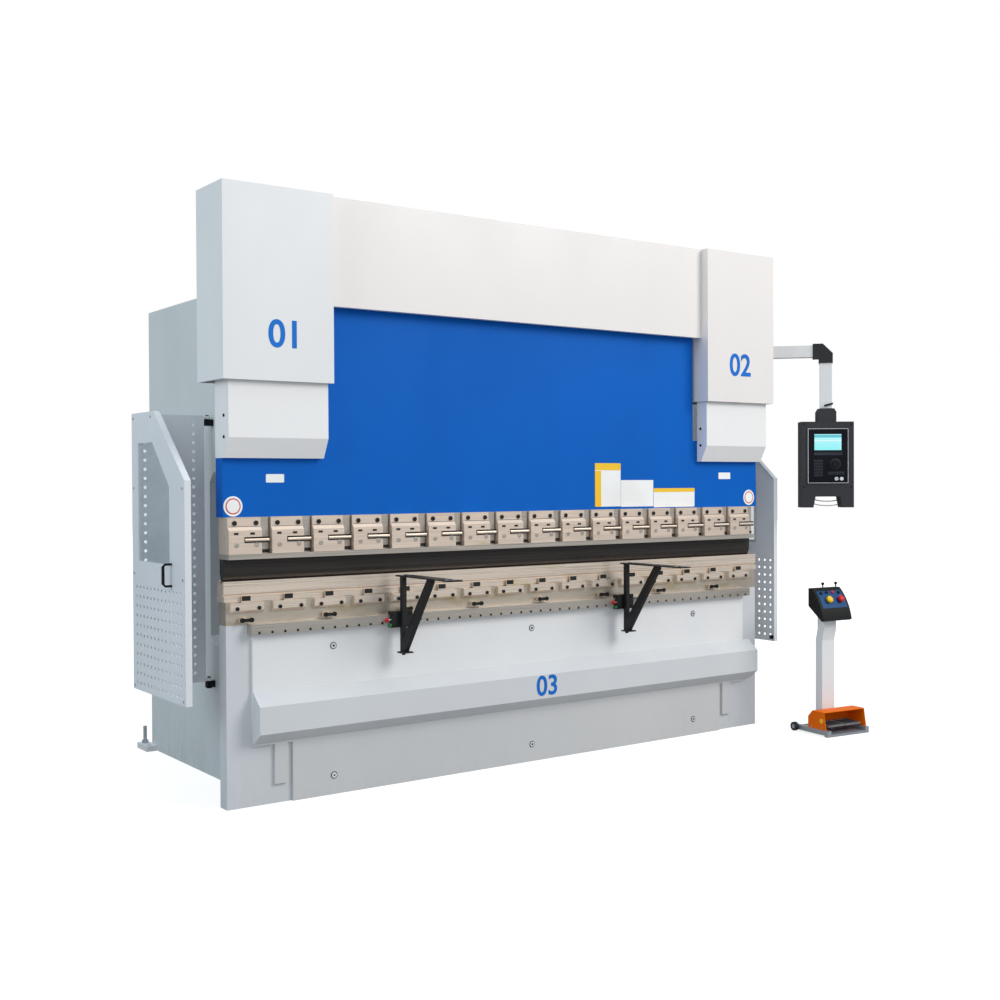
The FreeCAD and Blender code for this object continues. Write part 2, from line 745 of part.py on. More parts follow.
def make_support_arm(side, x):
    """Support arm on a carriage that hooks round the front rail."""
    gap = CARRIAGE_GAP
    wall = CARRIAGE_WALL
    rear = RAIL_FRONT - gap
    bar_rear = rear - wall
    bar_front = bar_rear - ARM_BAR
    half = CARRIAGE_WIDTH / 2
    bar = ARM_BAR / 2
    low = ARM_TOP - ARM_HEIGHT
    under = ARM_TOP - ARM_PLATE
    hook = [
        (bar_rear, RAIL_LOW - gap - wall),
        (RAIL_FRONT + CARRIAGE_LIP, RAIL_LOW - gap - wall),
        (RAIL_FRONT + CARRIAGE_LIP, RAIL_LOW - gap),
        (rear, RAIL_LOW - gap),
        (rear, RAIL_TOP + gap),
        (RAIL_FRONT + CARRIAGE_LIP, RAIL_TOP + gap),
        (RAIL_FRONT + CARRIAGE_LIP, RAIL_TOP + gap + wall),
        (bar_rear, RAIL_TOP + gap + wall),
    ]
    brace_tip = bar_front - ARM_BRACE_REACH
    brace = [
        (bar_front, low),
        (bar_front, low + 2 * ARM_BRACE),
        (brace_tip + ARM_BRACE, under),
        (brace_tip, under),
        (brace_tip, under - ARM_BRACE / 2),
        (bar_front - ARM_BRACE / 2, low),
    ]
    foot = ARM_FOOT_WIDTH / 2
    shelf = ARM_PLATE_WIDTH / 2
    arm = join(
        along_x(hook, x - half, x + half),
        block(x - bar, x + bar, bar_front, bar_rear, low, under),
        block(x - shelf, x + shelf, bar_rear - ARM_REACH, bar_rear, under, ARM_TOP),
        along_x(brace, x - bar, x + bar),
        block(x - foot, x + foot, bar_front - ARM_BRACE, bar_rear, low - ARM_PLATE, low),
    )
    save(side + "_support_arm", arm)


def guard_outline(inset=0.0):
    """Side view of the guard's outer panel as (y, z) points, drawn in by the inset."""
    rear = GUARD_PIN_Y + GUARD_REAR_HALF
    slant = inset * math.tan(math.radians(22.5))
    return [
        (GUARD_FRONT + inset, GUARD_LOW + inset),
        (rear - inset, GUARD_LOW + inset),
        (rear - inset, GUARD_TOP - inset),
        (GUARD_FRONT + GUARD_CHAMFER_Y + slant, GUARD_TOP - inset),
        (GUARD_FRONT + inset, GUARD_TOP - GUARD_CHAMFER_Z - slant),
    ]


def window_outline(lap=0.0):
    """Side view of the guard's window as (y, z) points, grown by the lap."""
    low = WINDOW_LOW - lap
    top = WINDOW_LOW + WINDOW_HEIGHT + lap
    front = WINDOW_FRONT - lap
    rear = WINDOW_FRONT + WINDOW_WIDTH + lap
    slant = lap * math.tan(math.radians(22.5))
    return [
        (front, low),
        (rear, low),
        (rear, top),
        (WINDOW_FRONT + WINDOW_CHAMFER_Y - slant, top),
        (front, top - WINDOW_CHAMFER_Z - lap + slant),
    ]


def make_guard(side, s):
    """Hinged guard of folded sheet: outer pan with a window, rear pan and two hinge ears."""
    inside = GUARD_OUT - GUARD_EDGE
    skin = GUARD_OUT - GUARD_SKIN
    pan = along_x(guard_outline(), s * inside, s * GUARD_OUT)
    pan = pan.cut(along_x(guard_outline(GUARD_SKIN), s * inside, s * skin))
    pan = pan.cut(along_x(window_outline(), s * inside, s * GUARD_OUT))
    post_in = GUARD_PIN_X + GUARD_POST
    front = GUARD_PIN_Y - GUARD_REAR_HALF
    rear = GUARD_PIN_Y + GUARD_REAR_HALF
    back = block(s * post_in, s * skin, front, rear, GUARD_LOW, GUARD_TOP)
    pocket = block(
        s * (post_in + GUARD_SKIN),
        s * (skin - GUARD_SKIN),
        front + GUARD_SKIN,
        rear,
        GUARD_LOW + GUARD_EAR,
        GUARD_TOP - GUARD_EAR,
    )
    pieces = [pan, back.cut(pocket)]
    for z in (GUARD_LOW, GUARD_TOP - GUARD_EAR):
        ear = block(
            s * (GUARD_PIN_X - GUARD_EAR_HALF),
            s * post_in,
            GUARD_PIN_Y - GUARD_REAR_HALF,
            GUARD_PIN_Y + GUARD_REAR_HALF,
            z,
            z + GUARD_EAR,
        )
        hole = post(GUARD_PIN_R + GUARD_PIN_FIT, s * GUARD_PIN_X, GUARD_PIN_Y, z, z + GUARD_EAR)
        pieces.append(ear.cut(hole))
    save(side + "_guard", join(*pieces))
    save(side + "_guard_window", along_x(window_outline(PANE_LAP), s * (skin - PANE), s * skin))
    tip = HANDLE_OUT
    high = HANDLE_LOW + HANDLE_HEIGHT
    bend = HANDLE_CORNER
    thick = HANDLE_THICK
    bow = [
        (0, HANDLE_LOW),
        (tip - bend, HANDLE_LOW),
        (tip, HANDLE_LOW + bend),
        (tip, high - bend),
        (tip - bend, high),
        (0, high),
        (0, high - thick),
        (tip - bend, high - thick),
        (tip - thick, high - bend),
        (tip - thick, HANDLE_LOW + bend),
        (tip - bend, HANDLE_LOW + thick),
        (0, HANDLE_LOW + thick),
    ]
    bow = [(s * (GUARD_OUT + x), z) for x, z in bow]
    save(side + "_guard_handle", along_y(bow, HANDLE_Y - HANDLE_BAR / 2, HANDLE_Y + HANDLE_BAR / 2))


def make_guard_hinges():
    """Hinge blocks on the frames, each with an upright pin through the guard's ear."""
    hinges = []
    for side, s in SIDES:
        for ear_low in (GUARD_LOW, GUARD_TOP - GUARD_EAR):
            top = ear_low - HINGE_GAP
            low = top - HINGE_BLOCK
            base = block(
                s * FRAME_OUT,
                s * (GUARD_PIN_X + HINGE_HALF),
                GUARD_PIN_Y - HINGE_HALF,
                GUARD_PIN_Y + HINGE_HALF,
                low,
                top,
            )
            pin = post(GUARD_PIN_R, s * GUARD_PIN_X, GUARD_PIN_Y, low, ear_low + GUARD_EAR + HINGE_PIN_RISE)
            hinges.append(join(base, pin))
    save("guard_hinges", together(hinges))


def make_pendant():
    """Bracket on the right cover, swing arm with drop tube, and the control box."""
    half = TUBE / 2
    under = MAST_Z - half - MAST_GAP
    bracket = join(
        block(
            COVER_OUT,
            COVER_OUT + MAST_PLATE,
            MAST_Y - MAST_PLATE_HALF,
            MAST_Y + MAST_PLATE_HALF,
            under - 2 * MAST_SHELF,
            MAST_Z + MAST_PLATE_HALF,
        ),
        block(COVER_OUT, MAST_X + half, MAST_Y - half, MAST_Y + half, under - MAST_SHELF, under),
        post(MAST_PIN_R, MAST_X, MAST_Y, under, MAST_Z + half + MAST_PLATE),
    )
    save("pendant_bracket", bracket)
    dx = DROP_X - MAST_X
    dy = DROP_Y - MAST_Y
    reach = math.hypot(dx, dy)
    yaw = math.degrees(math.atan2(dy, dx))
    wall = half + KNUCKLE_WALL
    socket_low = MAST_Z - half - KNUCKLE_RISE
    knuckle_low = KNUCKLE_TOP - KNUCKLE
    elbow = [
        (reach - wall - KNUCKLE_SOCKET, socket_low),
        (reach - wall, socket_low),
        (reach - wall, knuckle_low),
        (reach + wall, knuckle_low),
        (reach + wall, KNUCKLE_TOP - KNUCKLE_CHAMFER),
        (reach + wall - KNUCKLE_CHAMFER, KNUCKLE_TOP),
        (reach - wall - KNUCKLE_SOCKET, KNUCKLE_TOP),
    ]
    arm = join(
        block(0, reach - wall, -half, half, MAST_Z - half, MAST_Z + half),
        post(half + MAST_HUB, 0, 0, MAST_Z - half, MAST_Z + half),
        along_y(elbow, -wall, wall),
        block(reach - half, reach + half, -half, half, DROP_LOW, knuckle_low),
    )
    arm = arm.cut(post(MAST_PIN_R + MAST_FIT, 0, 0, MAST_Z - half, MAST_Z + half))
    save("pendant_arm", turned(arm, MAST_X, MAST_Y, yaw))
    depth = BOX_DEPTH / 2
    leg = BOX_HALF - BOX_LEG
    shape = [
        (-BOX_HALF, BOX_LOW),
        (-leg, BOX_LOW),
        (-leg + BOX_CUT_SLOPE, BOX_LEG_TOP),
        (leg - BOX_CUT_SLOPE, BOX_LEG_TOP),
        (leg, BOX_LOW),
        (BOX_HALF, BOX_LOW),
        (BOX_HALF, BOX_TOP),
        (-BOX_HALF, BOX_TOP),
    ]
    neck_top = DROP_LOW - MAST_GAP
    neck = [
        (-NECK_LOW_HALF, BOX_TOP),
        (NECK_LOW_HALF, BOX_TOP),
        (NECK_LOW_HALF, neck_top - NECK_SLOPE),
        (NECK_TOP_HALF, neck_top),
        (-NECK_TOP_HALF, neck_top),
        (-NECK_LOW_HALF, neck_top - NECK_SLOPE),
    ]
    box = join(along_y(shape, -depth, depth), along_y(neck, -NECK_HALF_DEPTH, NECK_HALF_DEPTH))
    save("pendant_box", turned(box, DROP_X, DROP_Y, PENDANT_YAW))
    panel_top = BOX_TOP - PANEL_DROP
    panel = block(
        -PANEL_HALF_WIDTH,
        PANEL_HALF_WIDTH,
        -depth - PANEL_PROUD,
        -depth,
        panel_top - PANEL_TALL,
        panel_top,
    )
    save("pendant_panel", turned(panel, DROP_X, DROP_Y, PENDANT_YAW))


def stand(shape):
    """A piece of the foot control stand, put in its place on the floor."""
    return turned(shape, STAND_X, STAND_Y, STAND_YAW)


def make_console():
    """Console box with a curved operating face, open to the column below."""
    nose = V(-CONSOLE_HALF, CONSOLE_NOSE_Y, CONSOLE_NOSE_Z)
    ledge = V(-CONSOLE_HALF, CONSOLE_REAR_Y - CONSOLE_LEDGE, CONSOLE_TOP)
    middle = (nose + ledge) / 2 + V(0, -CONSOLE_LEDGE / 2, CONSOLE_LEDGE / 2)
    rear_top = V(-CONSOLE_HALF, CONSOLE_REAR_Y, CONSOLE_TOP)
    rear_low = V(-CONSOLE_HALF, CONSOLE_REAR_Y, CONSOLE_TOP - CONSOLE_REAR_TALL)
    lip = V(-CONSOLE_HALF, CONSOLE_NOSE_Y + CONSOLE_LIP, CONSOLE_NOSE_Z - CONSOLE_LIP_DROP)
    wire = Part.Wire([
        Part.Arc(nose, middle, ledge).toShape(),
        Part.makeLine(ledge, rear_top),
        Part.makeLine(rear_top, rear_low),
        Part.makeLine(rear_low, lip),
        Part.makeLine(lip, nose),
    ])
    save("stand_console", stand(Part.Face(wire).extrude(V(2 * CONSOLE_HALF, 0, 0))))


def make_stand():
    """Rolling stand with a console on a column and a hooded pair of foot pedals."""
    half = STAND_HALF_WIDTH
    deep = STAND_HALF_DEPTH
    low = STAND_LIFT
    plate_top = low + FLOOR_PLATE
    column_rear = COLUMN_Y + COLUMN_DEPTH
    pieces = [block(-half, half, -deep, COLUMN_Y, low, plate_top)]
    pieces.append(block(-half, half, -deep, -deep + STAND_BAR, 0, low))
    pieces.append(block(-half, half, COLUMN_Y, column_rear, low, STAND_TOP))
    for s in (-1, 1):
        pieces.append(block(s * (half - STAND_BAR), s * half, -deep, deep, low, STAND_TOP))
    axle_end = half + AXLE_GAP + WHEEL_WIDTH + AXLE_HEAD
    pieces.append(rod(AXLE_R, V(-axle_end, WHEEL_Y, WHEEL_R), V(axle_end, WHEEL_Y, WHEEL_R)))
    row = CHEEK / 2 + AXLE_GAP + PEDAL_WIDTH + AXLE_GAP + CHEEK
    for x in (-row, -CHEEK / 2, row - CHEEK):
        pieces.append(block(
            x,
            x + CHEEK,
            PEDAL_AXIS_Y - PEDAL_HUB_R,
            PEDAL_AXIS_Y + PEDAL_HUB_R,
            plate_top,
            PEDAL_AXIS_Z + PEDAL_HUB_R,
        ))
    pieces.append(rod(AXLE_R, V(-row, PEDAL_AXIS_Y, PEDAL_AXIS_Z), V(row, PEDAL_AXIS_Y, PEDAL_AXIS_Z)))
    save("stand_base", stand(join(*pieces)))

    rise = CONSOLE_REAR_TALL - CONSOLE_RISE - CONSOLE_LIP_DROP
    lip_y = CONSOLE_NOSE_Y + CONSOLE_LIP
    lip_z = CONSOLE_NOSE_Z - CONSOLE_LIP_DROP
    slope = -rise / (CONSOLE_REAR_Y - lip_y)
    top_front = COLUMN_Y - COLUMN_LEAN
    top_rear = min(column_rear - COLUMN_LEAN, CONSOLE_REAR_Y)
    column = along_x(
        [
            (COLUMN_Y, STAND_TOP),
            (column_rear, STAND_TOP),
            (column_rear, COLUMN_STOP),
            (top_rear, COLUMN_BEND),
            (top_rear, lip_z + slope * (top_rear - lip_y)),
            (top_front, lip_z + slope * (top_front - lip_y)),
            (top_front, COLUMN_BEND),
            (COLUMN_Y, COLUMN_STOP),
        ],
        -COLUMN_WIDTH / 2,
        COLUMN_WIDTH / 2,
    )
    save("stand_column", stand(column))
    make_console()

    wall = HOOD_SHEET
    hood_top = STAND_TOP + HOOD_TALL
    brow = HOOD_FRONT + HOOD_SLANT
    outer = along_x(
        [
            (HOOD_FRONT, STAND_TOP),
            (COLUMN_Y, STAND_TOP),
            (COLUMN_Y, hood_top - HOOD_KNEE),
            (COLUMN_Y - HOOD_KNEE, hood_top),
            (brow, hood_top),
        ],
        -HOOD_HALF,
        HOOD_HALF,
    )
    inner = along_x(
        [
            (HOOD_FRONT - wall, STAND_TOP),
            (COLUMN_Y - wall, STAND_TOP),
            (COLUMN_Y - wall, hood_top - HOOD_KNEE - wall / 2),
            (COLUMN_Y - HOOD_KNEE - wall / 2, hood_top - wall),
            (HOOD_FRONT - wall, hood_top - wall),
        ],
        -HOOD_HALF + wall,
        HOOD_HALF - wall,
    )
    save("pedal_guard", stand(outer.cut(inner)))
    for side, s in SIDES:
        near = s * (CHEEK / 2 + AXLE_GAP)
        far = near + s * PEDAL_WIDTH
        tread = block(
            near,
            far,
            PEDAL_AXIS_Y - PEDAL_REACH,
            PEDAL_AXIS_Y,
            PEDAL_AXIS_Z - PEDAL_THICK / 2,
            PEDAL_AXIS_Z + PEDAL_THICK / 2,
        )
        start = V(near, PEDAL_AXIS_Y, PEDAL_AXIS_Z)
        end = V(far, PEDAL_AXIS_Y, PEDAL_AXIS_Z)
        pedal = join(tread, rod(PEDAL_HUB_R, start, end))
        save(side + "_pedal", stand(pedal.cut(rod(AXLE_R + AXLE_FIT, start, end))))
        start = V(s * (half + AXLE_GAP), WHEEL_Y, WHEEL_R)
        end = V(s * (half + AXLE_GAP + WHEEL_WIDTH), WHEEL_Y, WHEEL_R)
        wheel = rod(WHEEL_R, start, end).cut(rod(AXLE_R + AXLE_FIT, start, end))
        save(side + "_stand_wheel", stand(wheel))
        x = LEVER_LEFT_X if s < 0 else LEVER_RIGHT_X
        tip = LEVER_FOOT_Z + LEVER_LONG
        lever = join(
            along_z(ring(LEVER_R, LEVER_SIDES, x, LEVER_Y), LEVER_FOOT_Z - LEVER_R / 2, tip),
            along_z(ring(LEVER_KNOB_R, LEVER_SIDES, x, LEVER_Y), tip, tip + LEVER_KNOB_R),
        )
        save(side + "_console_lever", stand(lever))


def make_rear():
    """Tank, motor, cross beam, electric cabinet and back gauge behind the bending line."""
    lid_front = TANK_FRONT - TANK_LIP
    lid_rear = TANK_FRONT + TANK_DEPTH + TANK_LIP
    save("oil_tank", join(
        block(-FRAME_IN, FRAME_IN, TANK_FRONT, TANK_FRONT + TANK_DEPTH, TANK_LOW, TANK_TOP - TANK_LID),
        block(-FRAME_IN, FRAME_IN, lid_front, lid_rear, TANK_TOP - TANK_LID, TANK_TOP),
    ))
    motor_top = TANK_TOP + MOTOR_FLANGE + MOTOR_HIGH
    save("pump_motor", join(
        post(MOTOR_R + MOTOR_FLANGE_OUT, 0, TANK_MIDDLE, TANK_TOP, TANK_TOP + MOTOR_FLANGE),
        post(MOTOR_R, 0, TANK_MIDDLE, TANK_TOP + MOTOR_FLANGE, motor_top),
        post(MOTOR_R - MOTOR_COWL_IN, 0, TANK_MIDDLE, motor_top, motor_top + MOTOR_COWL),
        block(
            0,
            MOTOR_R + TERMINAL_DEPTH,
            TANK_MIDDLE - TERMINAL_HALF,
            TANK_MIDDLE + TERMINAL_HALF,
            TANK_TOP + TERMINAL_UP,
            TANK_TOP + TERMINAL_UP + 2 * TERMINAL_HALF,
        ),
    ))
    beam_rear = FRAME_REAR - BEAM_SETBACK
    save("rear_cross_beam", block(
        -FRAME_IN,
        FRAME_IN,
        beam_rear - BEAM_PLATE,
        beam_rear,
        BEAM_LOW,
        BEAM_LOW + BEAM_HEIGHT,
    ))
    door_in = CABINET_OUT - CABINET_DOOR
    cabinet_front = CABINET_REAR - CABINET_WIDTH
    cabinet_top = CABINET_LOW + CABINET_HEIGHT
    save("electric_cabinet", join(
        block(FRAME_OUT, door_in, cabinet_front, CABINET_REAR, CABINET_LOW, cabinet_top),
        block(
            door_in,
            CABINET_OUT,
            cabinet_front + CABINET_MARGIN,
            CABINET_REAR - CABINET_MARGIN,
            CABINET_LOW + CABINET_MARGIN,
            cabinet_top - CABINET_MARGIN,
        ),
    ))
    guides = []
    beam = [block(
        -GAUGE_BEAM_HALF,
        GAUGE_BEAM_HALF,
        GAUGE_BEAM_Y,
        GAUGE_BEAM_Y + GAUGE_BEAM_DEPTH,
        GAUGE_BEAM_LOW,
        GAUGE_BEAM_TOP,
    )]
    for s in (-1, 1):
        x = s * GAUGE_X
        rail_low = GUIDE_RAIL_TOP - GUIDE_RAIL_HIGH
        foot_low = rail_low - GUIDE_FOOT_OVER
        foot_top = GUIDE_RAIL_TOP + GUIDE_FOOT_OVER
        wide = GUIDE_RAIL_HALF
        guides.append(join(
            block(x - wide, x + wide, BACK, BACK + GUIDE_RAIL_LONG, rail_low, GUIDE_RAIL_TOP),
            block(x - GUIDE_FOOT_HALF, x + GUIDE_FOOT_HALF, BACK, BACK + GUIDE_FOOT, foot_low, foot_top),
        ))
        beam.append(block(
            x - GAUGE_CARRIAGE_HALF,
            x + GAUGE_CARRIAGE_HALF,
            GAUGE_BEAM_Y - GAUGE_CARRIAGE,
            GAUGE_BEAM_Y + GAUGE_BEAM_DEPTH + GAUGE_CARRIAGE,
            GUIDE_RAIL_TOP,
            GAUGE_BEAM_LOW,
        ))
    save("gauge_guides", together(guides))
    save("gauge_beam", join(*beam))
    fingers = []
    for s in (-1, 1):
        x = s * FINGER_X
        front = GAUGE_BEAM_Y - FINGER_BODY
        rear = GAUGE_BEAM_Y + GAUGE_BEAM_DEPTH
        top = GAUGE_BEAM_TOP + FINGER_HIGH
        tip = FINGER_TIP_HALF
        fingers.append(join(
            block(x - FINGER_HALF, x + FINGER_HALF, front, rear, GAUGE_BEAM_TOP, top),
            block(x - tip, x + tip, front - FINGER_REACH, front, top - FINGER_TIP, top),
        ))
    save("gauge_fingers", together(fingers))


make_bed()
make_frames()
make_covers()
make_cylinders()
make_ram()
make_tooling()
make_support_arm("left", LEFT_ARM_X)
make_support_arm("right", RIGHT_ARM_X)
for guard_side, guard_sign in SIDES:
    make_guard(guard_side, guard_sign)
make_guard_hinges()
make_pendant()
make_stand()
make_rear()
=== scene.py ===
"""Looks, light and camera of a hydraulic press brake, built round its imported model."""
import logging
import math
from dataclasses import dataclass, field
from enum import Enum
from typing import Callable, Iterable, Sequence

import bmesh
import bpy
from mathutils import Matrix, Vector


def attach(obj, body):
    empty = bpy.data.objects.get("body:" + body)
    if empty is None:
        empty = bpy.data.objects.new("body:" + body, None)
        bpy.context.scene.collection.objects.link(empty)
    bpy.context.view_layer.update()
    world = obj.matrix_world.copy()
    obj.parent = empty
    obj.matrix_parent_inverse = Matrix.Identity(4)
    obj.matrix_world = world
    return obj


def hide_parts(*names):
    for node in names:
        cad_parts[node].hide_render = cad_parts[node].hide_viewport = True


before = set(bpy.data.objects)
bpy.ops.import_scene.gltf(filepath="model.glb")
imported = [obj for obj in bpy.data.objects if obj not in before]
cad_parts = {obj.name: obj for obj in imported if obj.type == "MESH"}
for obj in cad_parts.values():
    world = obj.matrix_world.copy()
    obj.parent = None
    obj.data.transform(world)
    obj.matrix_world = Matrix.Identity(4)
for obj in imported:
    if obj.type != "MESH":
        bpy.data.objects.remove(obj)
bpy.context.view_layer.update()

LOG = logging.getLogger("press_brake")

Point = tuple[float, float, float]
Pair = tuple[float, float]
Colour = tuple[float, float, float]

EDGE = 0.0004  # half width of the line between two finishes on one piece
FACED = 0.9  # a face looks one way when its normal has more than this share of that way
SHARP = 0.7  # angle in radians above which an edge counts as sharp
ROUND = 0.0858  # profile of a vertex bevel that opens a round hole


class Side(Enum):
    """The two ends of the machine, with the sign of X there."""

    LEFT = -1
    RIGHT = 1

    @property
    def word(self) -> str:
        """Name of the side as the nodes spell it."""
        return self.name.lower()


class Facing(Enum):
    """Which way a face or a fitting looks, as a unit vector."""

    FRONT = (0.0, -1.0, 0.0)
    REAR = (0.0, 1.0, 0.0)
    LEFT = (-1.0, 0.0, 0.0)
    RIGHT = (1.0, 0.0, 0.0)
    UP = (0.0, 0.0, 1.0)


def paint(red: int, green: int, blue: int) -> Colour:
    """Turns a screen colour of 0 to 255 into the linear colour a shader takes.

    Args:
        red: Red, 0 to 255.
        green: Green, 0 to 255.
        blue: Blue, 0 to 255.

    Returns:
        The linear colour.
    """
    def linear(value: int) -> float:
        """Linear value of one channel."""
        share = value / 255.0
        return share / 12.92 if share <= 0.04045 else ((share + 0.055) / 1.055) ** 2.4

    return linear(red), linear(green), linear(blue)


DIRT = paint(92, 84, 72)


class Piece:
    """One mesh piece, shaped with Blender's own operators and kept at the origin."""

    def __init__(self, obj: bpy.types.Object) -> None:
        """Wraps a mesh object."""
        self.obj = obj

    @staticmethod
    def clear() -> None:
        """Leaves edit mode and deselects everything."""
        active = bpy.context.view_layer.objects.active
        if active is not None and active.mode != "OBJECT":
            bpy.ops.object.mode_set(mode="OBJECT")
        bpy.ops.object.select_all(action="DESELECT")

    @classmethod
    def fresh(cls, name: str) -> "Piece":
        """Names the primitive just added and applies its place to its mesh.

        Args:
            name: Name of the piece.

        Returns:
            The piece.
        """
        obj = bpy.context.object
        obj.name = name
        bpy.ops.object.transform_apply(location=True, rotation=True, scale=True)
        return cls(obj)

    @classmethod
    def box(cls, name: str, low: Point, high: Point) -> "Piece":
        """Starts a piece from a cube between two corners.

        Args:
            name: Name of the piece.
            low: One corner.
            high: The opposite corner.

        Returns:
            The piece.
        """
        cls.clear()
        middle = [(a + b) / 2 for a, b in zip(low, high)]
        size = [abs(b - a) for a, b in zip(low, high)]
        bpy.ops.mesh.primitive_cube_add(size=1, location=middle, scale=size)
        return cls.fresh(name)

    @classmethod
    def bar(cls, name: str, start: Point, end: Point, radius: float, sides: int = 24) -> "Piece":
        """Starts a piece from a cylinder between two points.

        Args:
            name: Name of the piece.
            start: Middle of one end.
            end: Middle of the other end.
            radius: Radius of the bar.
            sides: Number of sides.

        Returns:
            The piece.
        """
        cls.clear()
        a, b = Vector(start), Vector(end)
        turn = (b - a).to_track_quat("Z", "Y").to_euler()
        bpy.ops.mesh.primitive_cylinder_add(
            vertices=sides, radius=radius, depth=(b - a).length, location=(a + b) / 2, rotation=turn
        )
        return cls.fresh(name)

    @classmethod
    def ball(cls, name: str, middle: Point, radius: float, rings: int = 12) -> "Piece":
        """Starts a piece from a sphere.

        Args:
            name: Name of the piece.
            middle: Middle of the sphere.
            radius: Radius of the sphere.
            rings: Number of rings from pole to pole.

        Returns:
            The piece.
        """
        cls.clear()
        bpy.ops.mesh.primitive_uv_sphere_add(
            segments=2 * rings, ring_count=rings, radius=radius, location=middle
        )
        return cls.fresh(name)

    @classmethod
    def grid(cls, name: str, low: Point, high: Point, flat: Facing, across: int, up: int) -> "Piece":
        """Starts a piece from an upright grid of cells between two corners.

        Args:
            name: Name of the piece.
            low: Lowest corner.
            high: Highest corner.
            flat: Way the grid looks: left, right, front or rear.
            across: Number of cells along X or Y.
            up: Number of cells along Z.

        Returns:
            The piece.
        """
        cls.clear()
        middle = [(a + b) / 2 for a, b in zip(low, high)]
        size = [abs(b - a) for a, b in zip(low, high)]
        sideways = flat in (Facing.LEFT, Facing.RIGHT)
        width = size[1] if sideways else size[0]
        turn = {
            Facing.LEFT: (math.pi / 2, 0.0, -math.pi / 2),
            Facing.RIGHT: (math.pi / 2, 0.0, math.pi / 2),
            Facing.FRONT: (math.pi / 2, 0.0, 0.0),
            Facing.REAR: (math.pi / 2, 0.0, math.pi),
        }[flat]
        bpy.ops.mesh.primitive_grid_add(
            x_subdivisions=across, y_subdivisions=up, size=1, location=middle, rotation=turn
        )
        bpy.context.object.scale = (width, size[2], 1)
        return cls.fresh(name)

    def edit(self, mode: str, test: Callable[[object], bool]) -> "Piece":
        """Goes into edit mode with only the parts that pass the test selected.

        Args:
            mode: VERT, EDGE or FACE.
            test: Says whether a bmesh vertex, edge or face is selected.

        Returns:
            This piece.
        """
        self.clear()
        self.obj.select_set(True)
        bpy.context.view_layer.objects.active = self.obj
        bpy.ops.object.mode_set(mode="EDIT")
        bpy.ops.mesh.select_mode(type=mode)
        bpy.ops.mesh.select_all(action="DESELECT")
        mesh = bmesh.from_edit_mesh(self.obj.data)
        parts = {"VERT": mesh.verts, "EDGE": mesh.edges, "FACE": mesh.faces}[mode]
        for part in [part for part in parts if test(part)]:
            part.select_set(True)
        mesh.select_flush_mode()
        bmesh.update_edit_mesh(self.obj.data)
        return self

    def faces(self, test: Callable[[Vector, Vector], bool]) -> "Piece":
        """Selects faces by their centre and normal, in edit mode."""
        return self.edit("FACE", lambda face: test(face.calc_center_median(), face.normal))

    def facing(self, way: Facing) -> "Piece":
        """Selects the faces that look one way, in edit mode."""
        return self.faces(lambda spot, normal: normal.dot(Vector(way.value)) > FACED)

    def rims(self, test: Callable[[Vector], bool]) -> "Piece":
        """Selects open edges by their middle, in edit mode."""
        return self.edit(
            "EDGE", lambda edge: edge.is_boundary and test((edge.verts[0].co + edge.verts[1].co) / 2)
        )

    def push(self, move: Point) -> "Piece":
        """Extrudes what is selected by a move."""
        bpy.ops.mesh.extrude_region_move(TRANSFORM_OT_translate={"value": move})
        return self

    def inset(self, thickness: float, depth: float = 0.0) -> "Piece":
        """Insets the selected faces, and sinks them by a depth."""
        bpy.ops.mesh.inset(thickness=thickness, depth=depth)
        return self

    def modify(self, kind: str, **settings: object) -> "Piece":
        """Adds a modifier with its settings and applies it.

        Args:
            kind: Type of the modifier.
            settings: Properties of the modifier.

        Returns:
            This piece.
        """
        self.clear()
        self.obj.select_set(True)
        bpy.context.view_layer.objects.active = self.obj
        modifier = self.obj.modifiers.new(kind, kind)
        for key, value in settings.items():
            setattr(modifier, key, value)
        bpy.ops.object.modifier_apply(modifier=modifier.name)
        return self

    def soften(self, width: float, segments: int = 2) -> "Piece":
        """Rounds the sharp edges with a bevel."""
        return self.modify(
            "BEVEL", width=width, segments=segments, limit_method="ANGLE", angle_limit=SHARP
        )

    def outward(self, merge: float = 0.00001) -> "Piece":
        """Merges doubles and turns every face outwards.

        Args:
            merge: Distance under which points are merged; 0 merges none.

        Returns:
            This piece.
        """
        self.edit("FACE", lambda face: True)
        if merge:
            bpy.ops.mesh.remove_doubles(threshold=merge)
        bpy.ops.mesh.normals_make_consistent(inside=False)
        return self

    def place(self, matrix: Matrix) -> "Piece":
        """Moves the mesh by a matrix and leaves the object at the origin.

        Args:
            matrix: The move.

        Returns:
            This piece.
        """
        self.clear()
        self.obj.data.transform(matrix)
        return self

    def twin(self, matrix: Matrix) -> "Piece":
        """Copies the piece with a mesh of its own and moves the copy.

        Args:
            matrix: The move.

        Returns:
            The copy.
        """
        copy = self.obj.copy()
        copy.data = self.obj.data.copy()
        bpy.context.scene.collection.objects.link(copy)
        return Piece(copy).place(matrix)

    def join(self, others: Iterable["Piece"]) -> "Piece":
        """Joins other pieces into this one.

        Args:
            others: The pieces to join.

        Returns:
            This piece.
        """
        self.clear()
        for other in others:
            other.obj.select_set(True)
        self.obj.select_set(True)
        bpy.context.view_layer.objects.active = self.obj
        bpy.ops.object.join()
        return self

    def row(self, moves: Sequence[Point]) -> "Piece":
        """Repeats this piece at each move, joined into one.

        Args:
            moves: Where the copies go, from where the piece is.

        Returns:
            This piece.
        """
        twins = [self.twin(Matrix.Translation(move)) for move in moves[1:]]
        self.place(Matrix.Translation(moves[0]))
        return self.join(twins)

